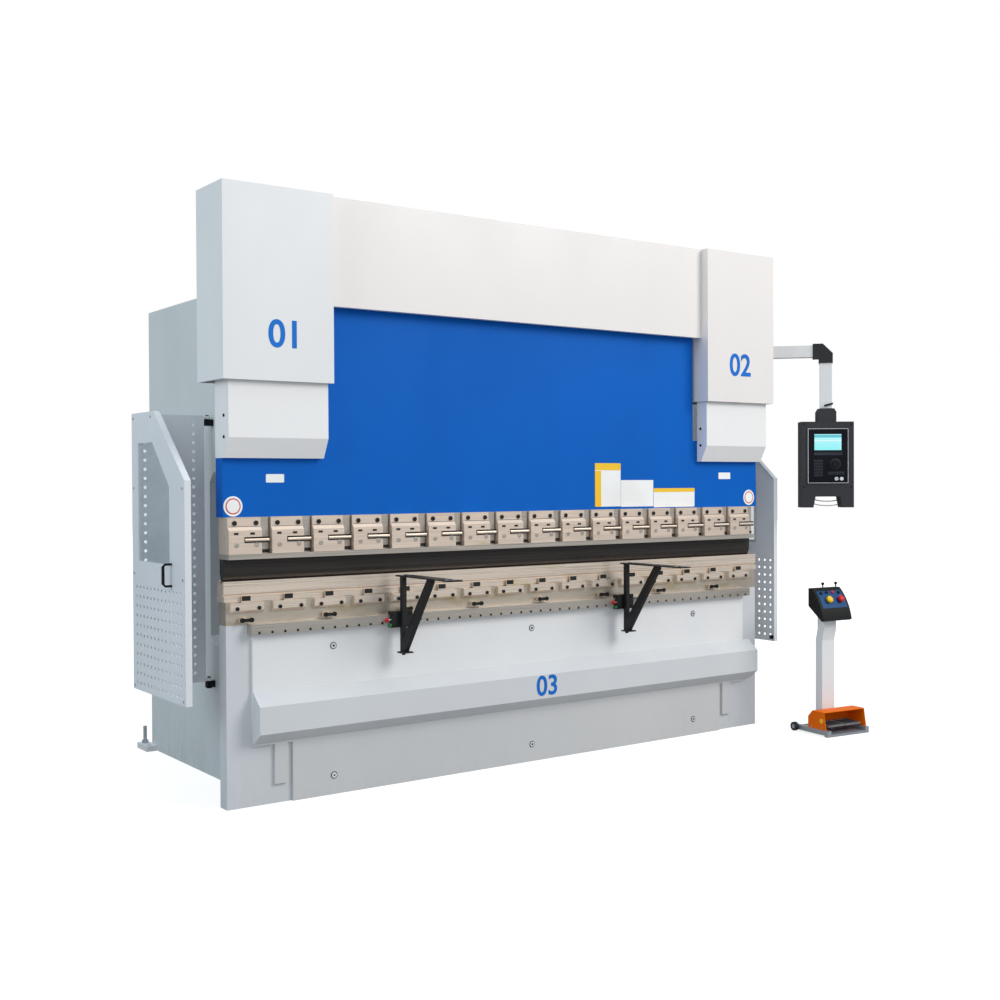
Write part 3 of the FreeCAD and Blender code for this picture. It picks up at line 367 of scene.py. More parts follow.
    @classmethod
    def tube(cls, name: str, points: Sequence[Point], radius: float) -> "Piece":
        """Starts a piece from a round bar along a bent line.

        Args:
            name: Name of the piece.
            points: Points that the middle line goes through.
            radius: Radius of the bar.

        Returns:
            The piece.
        """
        cls.clear()
        bpy.ops.curve.primitive_bezier_curve_add(location=(0, 0, 0))
        curve = bpy.context.object.data
        spline = curve.splines[0]
        spline.bezier_points.add(len(points) - 2)
        for knot, point in zip(spline.bezier_points, points):
            knot.co = point
            knot.handle_left_type = knot.handle_right_type = "AUTO"
        curve.dimensions = "3D"
        curve.bevel_depth = radius
        curve.bevel_resolution = 2
        curve.use_fill_caps = True
        bpy.ops.object.convert(target="MESH")
        return cls.fresh(name)

    @classmethod
    def numeral(cls, name: str, digits: str, low: Point, high: Point) -> "Piece":
        """Starts a raised numeral that faces the front, as high and thick as two corners say.

        Args:
            name: Name of the piece.
            digits: The numeral.
            low: Lowest corner.
            high: Highest corner.

        Returns:
            The piece.
        """
        cls.clear()
        bpy.ops.object.text_add(location=(0, 0, 0))
        text = bpy.context.object.data
        text.body = digits
        text.align_x = "CENTER"
        text.offset = 0.018
        text.extrude = 0.01
        bpy.ops.object.convert(target="MESH")
        piece = cls.fresh(name).outward(0.0001)
        piece.clear()
        spots = [vertex.co for vertex in piece.obj.data.vertices]
        tall = max(spot.y for spot in spots) - min(spot.y for spot in spots)
        foot = min(spot.y for spot in spots)
        middle = (max(spot.x for spot in spots) + min(spot.x for spot in spots)) / 2
        scale = (high[2] - low[2]) / tall
        upright = Matrix.Rotation(math.pi / 2, 4, "X")
        thickness = 0.02
        size = Matrix.Diagonal((scale, scale, (high[1] - low[1]) / thickness, 1.0))
        shift = Matrix.Translation((-middle, -foot, 0.0))
        spot = Matrix.Translation(((low[0] + high[0]) / 2, (low[1] + high[1]) / 2, low[2]))
        return piece.place(spot @ upright @ size @ shift)

    @classmethod
    def head(
        cls, name: str, radius: float, height: float, socket: float = 0.45, sides: int = 16
    ) -> "Piece":
        """Starts a screw head at the origin that faces the front, with a sunk socket.

        Args:
            name: Name of the piece.
            radius: Radius of the head.
            height: How far it stands out.
            socket: Socket's share of the radius; none for a plain head.
            sides: Number of sides.

        Returns:
            The piece.
        """
        screw = cls.bar(name, (0, 0.001, 0), (0, -height, 0), radius, sides)
        screw.facing(Facing.FRONT).inset(radius * 0.14, height * 0.18)
        if socket:
            screw.inset(radius * (0.86 - socket), 0.0).inset(radius * 0.06, -0.7 * height)
        return screw

    def done(self, body: str, material: bpy.types.Material, smooth: float = 35.0) -> "Piece":
        """Dresses the piece and lets it ride on its body.

        Args:
            body: Name of the body.
            material: Material of the whole piece.
            smooth: Angle in degrees under which edges are shaded smooth.

        Returns:
            This piece.
        """
        self.clear()
        self.obj.select_set(True)
        bpy.context.view_layer.objects.active = self.obj
        bpy.ops.object.shade_smooth_by_angle(angle=math.radians(smooth))
        self.obj.data.materials.clear()
        self.obj.data.materials.append(material)
        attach(self.obj, body)
        LOG.info("%s rides on %s, %d faces", self.obj.name, body, len(self.obj.data.polygons))
        return self


class Tree:
    """Short calls for the nodes of one material or node group."""

    def __init__(self, tree: bpy.types.NodeTree) -> None:
        """Wraps a node tree."""
        self.tree = tree

    def add(
        self, kind: str, values: dict[str | int, object] | None = None, **settings: object
    ) -> bpy.types.Node:
        """Adds a node.

        Args:
            kind: Node type without the ShaderNode prefix.
            values: Input names or places with a number, colour or socket to wire in.
            settings: Properties of the node.

        Returns:
            The node.
        """
        node = self.tree.nodes.new("ShaderNode" + kind)
        for key, value in settings.items():
            setattr(node, key, value)
        for key, value in (values or {}).items():
            socket = node.inputs[key]
            if isinstance(value, bpy.types.NodeSocket):
                self.tree.links.new(value, socket)
            elif isinstance(value, tuple) and len(value) == 3 and socket.type == "RGBA":
                socket.default_value = (*value, 1.0)
            else:
                socket.default_value = value
        return node

    def wire(self, source: bpy.types.NodeSocket, node: bpy.types.Node, name: str) -> None:
        """Wires a socket into a named input of a node."""
        self.tree.links.new(source, node.inputs[name])

    def math(
        self, operation: str, a: object, b: object = 0.0, clamp: bool = False
    ) -> bpy.types.NodeSocket:
        """Result of one sum."""
        return self.add("Math", {0: a, 1: b}, operation=operation, use_clamp=clamp).outputs[0]

    def ramp(
        self, value: object, low: float, high: float, to_low: float = 0.0, to_high: float = 1.0
    ) -> bpy.types.NodeSocket:
        """Maps a value smoothly from one range to another and holds it inside that.

        Args:
            value: The value.
            low: Start of its range.
            high: End of its range.
            to_low: Result at the start.
            to_high: Result at the end.

        Returns:
            The result.
        """
        node = self.add(
            "MapRange",
            {"Value": value, "From Min": low, "From Max": high, "To Min": to_low, "To Max": to_high},
            interpolation_type="SMOOTHSTEP",
        )
        return node.outputs["Result"]

    def blend(
        self, share: object, a: object, b: object, how: str = "MIX"
    ) -> bpy.types.NodeSocket:
        """Mixes two colours.

        Args:
            share: Share of the second colour.
            a: First colour.
            b: Second colour.
            how: Blend type.

        Returns:
            The mixed colour.
        """
        node = self.add("Mix", {}, data_type="RGBA", blend_type=how)
        for place, value in ((0, share), (6, a), (7, b)):
            socket = node.inputs[place]
            if isinstance(value, bpy.types.NodeSocket):
                self.tree.links.new(value, socket)
            else:
                socket.default_value = value if isinstance(value, float) else (*value, 1.0)
        return node.outputs[2]

    def place(self) -> bpy.types.NodeSocket:
        """Object coordinates, which are the part's own metres."""
        return self.add("TexCoord").outputs["Object"]

    def stretch(self, vector: object, scale: Point) -> bpy.types.NodeSocket:
        """Coordinates scaled along each axis."""
        return self.add("Mapping", {"Vector": vector, "Scale": scale}).outputs["Vector"]

    def height(self, vector: object) -> bpy.types.NodeSocket:
        """Height of a point above the floor."""
        return self.add("SeparateXYZ", {0: vector}).outputs["Z"]

    def cloud(self, vector: object, scale: object, detail: float = 4.0) -> bpy.types.NodeSocket:
        """Soft noise of about 0 to 1."""
        noise = self.add("TexNoise", {"Vector": vector, "Scale": scale, "Detail": detail})
        return noise.outputs["Fac"]


class Effects:
    """Surface effects that several finishes share, each built once as a node group."""

    @staticmethod
    def group(
        name: str, takes: dict[str, tuple[str, float]], gives: dict[str, str]
    ) -> tuple[Tree, bpy.types.Node, bpy.types.Node]:
        """Starts a node group.

        Args:
            name: Name of the group.
            takes: Input names with their socket type and default number.
            gives: Output names with their socket type.

        Returns:
            The tree, its input node and its output node.
        """
        tree = bpy.data.node_groups.new(name, "ShaderNodeTree")
        for key, (kind, start) in takes.items():
            socket = tree.interface.new_socket(
                name=key, in_out="INPUT", socket_type="NodeSocket" + kind
            )
            if kind == "Float":
                socket.default_value = start
        for key, kind in gives.items():
            tree.interface.new_socket(name=key, in_out="OUTPUT", socket_type="NodeSocket" + kind)
        return Tree(tree), tree.nodes.new("NodeGroupInput"), tree.nodes.new("NodeGroupOutput")

    @classmethod
    def coat(cls) -> bpy.types.NodeTree:
        """Sprayed paint: a fine pebbled normal and slow drifts of tone.

        Returns:
            The node group.
        """
        name = "sprayed_coat"
        if name in bpy.data.node_groups:
            return bpy.data.node_groups[name]
        tree, start, end = cls.group(
            name,
            {"Place": ("Vector", 0), "Pebble": ("Float", 900.0), "Height": ("Float", 0.02)},
            {"Normal": "Vector", "Tone": "Float", "Grime": "Float"},
        )
        spot = start.outputs["Place"]
        fine = tree.cloud(spot, start.outputs["Pebble"], 2.0)
        bump = tree.add(
            "Bump", {"Strength": start.outputs["Height"], "Distance": 0.001, "Height": fine}
        )
        drift = tree.cloud(tree.stretch(spot, (1.0, 1.0, 0.6)), 2.3, 3.0)
        speck = tree.cloud(tree.stretch(spot, (1.0, 1.0, 0.25)), 26.0, 5.0)
        grime_top = 0.35
        low = tree.ramp(tree.height(spot), grime_top, 0.0)
        grime = tree.math("MULTIPLY", low, tree.ramp(speck, 0.42, 0.72))
        tree.wire(bump.outputs["Normal"], end, "Normal")
        tree.wire(tree.ramp(drift, 0.3, 0.7), end, "Tone")
        tree.wire(grime, end, "Grime")
        return tree.tree

    @classmethod
    def grain(cls) -> bpy.types.NodeTree:
        """Ground or rolled steel: streaks along X, with oil stains.

        Returns:
            The node group.
        """
        name = "ground_steel"
        if name in bpy.data.node_groups:
            return bpy.data.node_groups[name]
        tree, start, end = cls.group(
            name,
            {"Place": ("Vector", 0), "Stain": ("Float", 0.5), "Height": ("Float", 0.05)},
            {"Normal": "Vector", "Streak": "Float", "Oil": "Float"},
        )
        spot = start.outputs["Place"]
        streak = tree.cloud(tree.stretch(spot, (3.0, 420.0, 420.0)), 1.0, 2.0)
        bump = tree.add(
            "Bump", {"Strength": start.outputs["Height"], "Distance": 0.0006, "Height": streak}
        )
        blot = tree.cloud(tree.stretch(spot, (5.0, 14.0, 18.0)), 1.0, 4.0)
        edge = tree.math("SUBTRACT", 0.82, tree.math("MULTIPLY", start.outputs["Stain"], 0.45))
        oil = tree.math("MULTIPLY", tree.math("SUBTRACT", blot, edge), 3.5, clamp=True)
        tree.wire(bump.outputs["Normal"], end, "Normal")
        tree.wire(streak, end, "Streak")
        tree.wire(oil, end, "Oil")
        return tree.tree


def blank(name: str) -> tuple[Tree, bpy.types.Node, bpy.types.Material]:
    """Starts a material with only its principled shader.

    Args:
        name: Name of the material.

    Returns:
        The tree, the principled shader and the material.
    """
    material = bpy.data.materials.new(name)
    material.use_nodes = True
    tree = Tree(material.node_tree)
    shader = material.node_tree.nodes["Principled BSDF"]
    return tree, shader, material


@dataclass(frozen=True)
class Enamel:
    """Sprayed paint on sheet steel.

    Attributes:
        name: Name of the material.
        colour: Colour of the paint.
        shade: Colour that the paint drifts towards.
        roughness: Roughness of the paint.
        grime: How much dirt lies near the floor.
        shine: Specular level.
        foot: Share of the paint's brightness that is left at the floor, as painted shade for the weaker
            light there.
        fade: Heights between which the painted shade gives way to the paint's full brightness.
    """

    name: str
    colour: Colour
    shade: Colour
    roughness: float = 0.38
    grime: float = 0.12
    shine: float = 0.5
    foot: float = 1.0
    fade: Pair = (0.27, 0.45)

    def make(self) -> bpy.types.Material:
        """Builds the material.

        Returns:
            The material.
        """
        tree, shader, material = blank(self.name)
        coat = tree.add("Group", node_tree=Effects.coat())
        spot = tree.place()
        tree.wire(spot, coat, "Place")
        body = tree.blend(coat.outputs["Tone"], self.shade, self.colour)
        # Painted shade: below the fade heights the paint is darkened towards the floor, for the weaker
        # light low down.
        if self.foot < 1.0:
            light = tree.ramp(tree.height(spot), *self.fade, self.foot, 1.0)
            body = tree.blend(1.0, body, light, "MULTIPLY")
        dirt = tree.math("MULTIPLY", coat.outputs["Grime"], self.grime)
        tree.wire(tree.blend(dirt, body, DIRT), shader, "Base Color")
        tree.wire(coat.outputs["Normal"], shader, "Normal")
        dull, sleek = self.roughness + 0.06, self.roughness - 0.04
        rough = tree.ramp(coat.outputs["Tone"], 0.0, 1.0, dull, sleek)
        tree.wire(rough, shader, "Roughness")
        shader.inputs["Specular IOR Level"].default_value = self.shine
        return material


@dataclass(frozen=True)
class Steel:
    """Bare machined steel with a thin film of oil.

    Attributes:
        name: Name of the material.
        colour: Colour of the clean metal.
        oiled: Colour of the stains.
        stain: Share of the surface that is stained.
        roughness: Roughness of the clean metal.
        metallic: How metallic the surface is.
    """

    name: str
    colour: Colour
    oiled: Colour
    stain: float = 0.5
    roughness: float = 0.34
    metallic: float = 0.85

    def make(self) -> bpy.types.Material:
        """Builds the material.

        Returns:
            The material.
        """
        tree, shader, material = blank(self.name)
        grain = tree.add("Group", {"Stain": self.stain}, node_tree=Effects.grain())
        tree.wire(tree.place(), grain, "Place")
        pale = tuple(min(1.0, 1.05 * value) for value in self.colour)
        dull = tuple(0.92 * value for value in self.colour)
        bright = tree.blend(tree.ramp(grain.outputs["Streak"], 0.3, 0.7), dull, pale)
        tree.wire(tree.blend(grain.outputs["Oil"], bright, self.oiled), shader, "Base Color")
        sleek, matt = self.roughness - 0.08, self.roughness + 0.12
        rough = tree.ramp(grain.outputs["Streak"], 0.25, 0.75, sleek, matt)
        tree.wire(rough, shader, "Roughness")
        tree.wire(grain.outputs["Normal"], shader, "Normal")
        shader.inputs["Metallic"].default_value = self.metallic
        return material


@dataclass(frozen=True)
class BedFinish:
    """Bed plate: painted below, bare machined steel above the rail.

    Attributes:
        name: Name of the material.
        line: Height of the paint's edge in metres.
        enamel: Colour of the painted part.
        steel: Colour of the bare part.
        oiled: Colour of the stains on the bare part.
        stain: Share of the bare part that is stained.
        grime: How much dirt lies near the floor.
        roughness: Roughness of both parts.
        metallic: How metallic the bare part is.
    """

    name: str
    line: float
    enamel: Colour
    steel: Colour
    oiled: Colour = paint(176, 156, 104)
    stain: float = 0.6
    grime: float = 0.05
    roughness: float = 0.38
    metallic: float = 0.8

    def make(self) -> bpy.types.Material:
        """Builds the material.

        Returns:
            The material.
        """
        tree, shader, material = blank(self.name)
        spot = tree.place()
        coat = tree.add("Group", node_tree=Effects.coat())
        grain = tree.add("Group", {"Stain": self.stain}, node_tree=Effects.grain())
        tree.wire(spot, coat, "Place")
        tree.wire(spot, grain, "Place")
        bare = tree.ramp(tree.height(spot), self.line - EDGE, self.line + EDGE)
        dirt = tree.math("MULTIPLY", coat.outputs["Grime"], self.grime)
        dull = tuple(0.96 * value for value in self.enamel)
        painted = tree.blend(dirt, tree.blend(coat.outputs["Tone"], dull, self.enamel), DIRT)
        dark = tuple(0.86 * value for value in self.steel)
        streaked = tree.blend(grain.outputs["Streak"], dark, self.steel)
        metal = tree.blend(grain.outputs["Oil"], streaked, self.oiled)
        tree.wire(tree.blend(bare, painted, metal), shader, "Base Color")
        tree.wire(tree.math("MULTIPLY", bare, self.metallic), shader, "Metallic")
        tree.wire(coat.outputs["Normal"], shader, "Normal")
        shader.inputs["Roughness"].default_value = self.roughness
        return material


@dataclass(frozen=True)
class ArmFinish:
    """Swing arm: white tubes with a black cast elbow between them.

    Attributes:
        name: Name of the material.
        tube: Colour of the tubes.
        elbow: Colour of the elbow.
        pivot: Middle of the mast, as (x, y).
        along: Direction of the arm, as (x, y).
        start: Distance from the mast to the elbow's near end.
        low: Height of the elbow's lower end.
        roughness: Roughness of the tubes and of the elbow.
    """

    name: str
    tube: Colour
    elbow: Colour
    pivot: Pair = (1.720, 0.045)
    along: Pair = (0.6757, -0.7372)
    start: float = 0.3030
    low: float = 2.048
    roughness: Pair = (0.38, 0.55)

    def make(self) -> bpy.types.Material:
        """Builds the material.

        Returns:
            The material.
        """
        tree, shader, material = blank(self.name)
        spot = tree.place()
        coat = tree.add("Group", node_tree=Effects.coat())
        tree.wire(spot, coat, "Place")
        moved = tree.add("VectorMath", {0: spot, 1: (*self.pivot, 0.0)}, operation="SUBTRACT")
        reach = tree.add(
            "VectorMath", {0: moved.outputs[0], 1: (*self.along, 0.0)}, operation="DOT_PRODUCT"
        )
        far = tree.ramp(reach.outputs["Value"], self.start - EDGE, self.start + EDGE)
        high = tree.ramp(tree.height(spot), self.low - EDGE, self.low + EDGE)
        cast = tree.math("MULTIPLY", far, high)
        shade = tuple(0.95 * value for value in self.tube)
        tube = tree.blend(coat.outputs["Tone"], shade, self.tube)
        tree.wire(tree.blend(cast, tube, self.elbow), shader, "Base Color")
        tree.wire(coat.outputs["Normal"], shader, "Normal")
        tree.wire(tree.ramp(cast, 0.0, 1.0, *self.roughness), shader, "Roughness")
        return material


@dataclass(frozen=True)
class Moulded:
    """Plastic, rubber or dull enamel with a fine grain.

    Attributes:
        name: Name of the material.
        colour: Colour of the surface.
        roughness: Roughness of the surface.
        grain: Size of the grain, as noise scale.
        height: Strength of the grain.
        shine: Specular level.
    """

    name: str
    colour: Colour
    roughness: float = 0.45
    grain: float = 1400.0
    height: float = 0.12
    shine: float = 0.35

    def make(self) -> bpy.types.Material:
        """Builds the material.

        Returns:
            The material.
        """
        tree, shader, material = blank(self.name)
        coat = tree.add(
            "Group", {"Pebble": self.grain, "Height": self.height}, node_tree=Effects.coat()
        )
        tree.wire(tree.place(), coat, "Place")
        worn = tuple(min(1.0, value * 1.25 + 0.004) for value in self.colour)
        tree.wire(tree.blend(coat.outputs["Tone"], self.colour, worn), shader, "Base Color")
        tree.wire(coat.outputs["Normal"], shader, "Normal")
        sleek, matt = self.roughness - 0.05, self.roughness + 0.07
        rough = tree.ramp(coat.outputs["Tone"], 0.0, 1.0, sleek, matt)
        tree.wire(rough, shader, "Roughness")
        shader.inputs["Specular IOR Level"].default_value = self.shine
        return material


@dataclass(frozen=True)
class ClearSheet:
    """Clear plastic pane with a faint haze.

    Attributes:
        name: Name of the material.
        colour: Colour of the pane.
        roughness: Roughness where the haze is thin and where it is thick.
        alpha: Alpha at the same places.
    """

    name: str
    colour: Colour
    roughness: Pair = (0.04, 0.16)
    alpha: Pair = (0.24, 0.36)

    def make(self) -> bpy.types.Material:
        """Builds the material.

        Returns:
            The material.
        """
        tree, shader, material = blank(self.name)
        haze = tree.cloud(tree.stretch(tree.place(), (3.0, 3.0, 9.0)), 2.0, 4.0)
        tree.wire(tree.ramp(haze, 0.3, 0.8, *self.roughness), shader, "Roughness")
        shader.inputs["Base Color"].default_value = (*self.colour, 1.0)
        tree.wire(tree.ramp(haze, 0.2, 0.9, *self.alpha), shader, "Alpha")
        shader.inputs["IOR"].default_value = 1.45
        return material


@dataclass(frozen=True)
class Glow:
    """Lit display: soft bands of pale cyan that show no writing.

    Attributes:
        name: Name of the material.
        top: Height of its upper edge.
        bottom: Height of its lower edge.
        strength: Strength of its light.
    """

    name: str
    top: float
    bottom: float
    strength: float = 0.95

    def make(self) -> bpy.types.Material:
        """Builds the material.

        Returns:
            The material.
        """
        tree, shader, material = blank(self.name)
        share = tree.ramp(tree.height(tree.place()), self.bottom, self.top)
        base = tree.blend(share, paint(150, 244, 250), paint(186, 250, 255))
        band = tree.math("MULTIPLY", tree.ramp(share, 0.86, 0.87), tree.ramp(share, 0.99, 0.985))
        line = tree.math("MULTIPLY", tree.ramp(share, 0.58, 0.60), tree.ramp(share, 0.68, 0.66))
        marks = tree.blend(band, base, paint(96, 196, 214))
        marks = tree.blend(line, marks, paint(232, 252, 252))
        shader.inputs["Base Color"].default_value = (0.02, 0.03, 0.03, 1.0)
        tree.wire(marks, shader, "Emission Color")
        shader.inputs["Emission Strength"].default_value = self.strength
        shader.inputs["Roughness"].default_value = 0.12
        return material


class Paints:
    """Every finish of the machine, made once and kept by name."""

    def __init__(self) -> None:
        """Builds the materials."""
        finishes = [
            Enamel("white_enamel", paint(236, 236, 236), paint(230, 231, 232)),
            # Painted light: a warm-tinted copy of the white paint, for the covers in the warm key
            # light.
            Enamel("cover_enamel", paint(237, 232, 229), paint(234, 229, 226)),
            # Painted shade: a darker copy of the white paint for the side frames' shaded faces.
            Enamel("frame_enamel", paint(216, 222, 221), paint(211, 217, 216)),
            # Painted shade: the white paint, darkened towards the floor through foot and fade.
            Enamel(
                "panel_enamel", paint(236, 236, 236), paint(231, 232, 233), grime=0.02, foot=0.76
            ),
            # Painted light: a brighter copy of the white paint for the ram's skirts.
            Enamel("skirt_enamel", paint(244, 243, 242), paint(240, 240, 240)),
            # Painted shade: a darker copy of the white paint for the low apron.
            Enamel("apron_enamel", paint(216, 218, 220), paint(211, 213, 216)),
            # Painted shade: a slightly darker copy of the white paint for the side guards.
            Enamel("guard_enamel", paint(231, 233, 236), paint(223, 226, 230), roughness=0.42),
            Enamel(
                "blue_enamel", paint(0, 98, 194), paint(0, 94, 188),
                roughness=0.5, grime=0.0, shine=0.12,
            ),
            Enamel(
                "orange_enamel", paint(246, 116, 0), paint(238, 108, 0),
                roughness=0.5, grime=0.05, shine=0.1,
            ),
            Steel(
                "tool_steel", paint(234, 214, 196), paint(200, 178, 124),
                stain=0.35, roughness=0.36, metallic=0.55,
            ),
            Steel(
                "rail_steel", paint(188, 180, 170), paint(180, 164, 124),
                stain=0.4, roughness=0.34, metallic=0.6,
            ),
            Steel(
                "die_steel", paint(234, 217, 200), paint(206, 188, 130),
                stain=0.5, roughness=0.3, metallic=0.55,
            ),
            Steel(
                "bright_steel", paint(214, 214, 212), paint(190, 186, 170),
                stain=0.2, roughness=0.28, metallic=0.95,
            ),
            Steel(
                "punch_steel", paint(54, 49, 46), paint(72, 62, 50),
                stain=0.3, roughness=0.3, metallic=0.4,
            ),
            Steel(
                "zinc_steel", paint(186, 190, 196), paint(150, 152, 150),
                stain=0.3, roughness=0.4, metallic=0.8,
            ),
            # Painted shade: the bed's paint is a darker copy of the white paint, for the dimmer light
            # low down.
            BedFinish(
                "bed_enamel", line=0.7785, enamel=paint(211, 214, 217), steel=paint(212, 200, 184)
            ),
            ArmFinish("arm_enamel", paint(236, 236, 236), paint(20, 20, 21)),
            Moulded("black_enamel", paint(18, 18, 19), roughness=0.5),
            Moulded("black_plastic", paint(11, 11, 13), roughness=0.5, shine=0.2),
            Moulded(
                "charcoal_casing", paint(48, 48, 51),
                roughness=0.65, grain=700.0, height=0.3, shine=0.25,
            ),
            Moulded("dark_glass", paint(8, 9, 18), roughness=0.25, grain=300.0, height=0.0, shine=0.15),
            Moulded("key_grey", paint(40, 44, 54), roughness=0.5, shine=0.2),
            Moulded("dark_socket", paint(22, 21, 20), roughness=0.5),
            Moulded("pedal_grey", paint(112, 110, 108), roughness=0.5),
            Moulded("label_white", paint(240, 240, 238), roughness=0.5),
            Moulded("label_yellow", paint(246, 190, 40), roughness=0.5),
            Moulded("label_blue", paint(8, 104, 190), roughness=0.5, height=0.1, shine=0.2),
            Moulded("label_red", paint(196, 60, 48), roughness=0.5, height=0.1, shine=0.2),
            Moulded("label_grey", paint(206, 208, 210), roughness=0.5),
            Moulded("signal_yellow", paint(236, 182, 10), roughness=0.35),
            Moulded("signal_red", paint(190, 20, 26), roughness=0.35),
            Moulded("console_blue", paint(12, 66, 112), roughness=0.45, height=0.1, shine=0.2),
            Moulded("signal_green", paint(30, 110, 60), roughness=0.4),
            Moulded("tyre_rubber", paint(40, 44, 54), roughness=0.7, grain=500.0, height=0.4),
            Moulded("machine_grey", paint(70, 74, 78), roughness=0.5),
            ClearSheet("clear_pane", paint(206, 216, 222)),
            Glow("display_glow", top=1.645, bottom=1.553),
        ]
        self.made = {finish.name: finish.make() for finish in finishes}

    def __getitem__(self, name: str) -> bpy.types.Material:
        """Material of a finish."""
        return self.made[name]


PLAIN_NODES: dict[str, tuple[str, ...]] = {
    "white_enamel": (
        "rear_feet", "left_upper_cover", "pendant_bracket", "stand_column", "oil_tank",
        "rear_cross_beam", "electric_cabinet", "gauge_beam",
    ),
    "panel_enamel": ("bed_front_panel",),
    "skirt_enamel": ("left_ram_skirt", "right_ram_skirt"),
    "cover_enamel": ("right_upper_cover", "top_front_cover"),
    "frame_enamel": ("left_side_frame", "right_side_frame"),
    "apron_enamel": ("apron_cover",),
    "bed_enamel": ("bed_plate",),
    "arm_enamel": ("pendant_arm",),
    "blue_enamel": ("ram_plate",),
    "rail_steel": ("front_rail", "punch_rail"),
    "die_steel": ("die_rail", "v_die", "die_clamps"),
    "tool_steel": ("punch_clamps",),
    "bright_steel": ("cylinder_rods", "gauge_guides", "gauge_fingers"),
    "zinc_steel": ("levelling_bolts", "stand_base"),
    "punch_steel": ("punch",),
    "machine_grey": ("left_cylinder", "right_cylinder", "pump_motor"),
    "black_enamel": ("left_support_arm", "right_support_arm"),
    "pedal_grey": ("left_pedal", "right_pedal"),
    "guard_enamel": ("left_guard", "right_guard"),
    "clear_pane": ("left_guard_window", "right_guard_window"),
    "black_plastic": (
        "left_guard_handle", "right_guard_handle", "guard_hinges", "stand_console",
        "left_console_lever", "right_console_lever",
    ),
    "charcoal_casing": ("pendant_box",),
    "dark_glass": ("pendant_panel",),
    "orange_enamel": ("pedal_guard",),
    "tyre_rubber": ("left_stand_wheel", "right_stand_wheel"),
}


def dress_nodes(paints: Paints) -> None:
    """Gives every carried-over node its finish.

    Args:
        paints: The finishes.
    """
    for name, nodes in PLAIN_NODES.items():
        for node in nodes:
            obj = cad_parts[node]
            for slot in obj.material_slots:
                slot.material = paints[name]
    left = set(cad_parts) - {node for nodes in PLAIN_NODES.values() for node in nodes}
    LOG.info("nodes without a finish: %s", sorted(left))


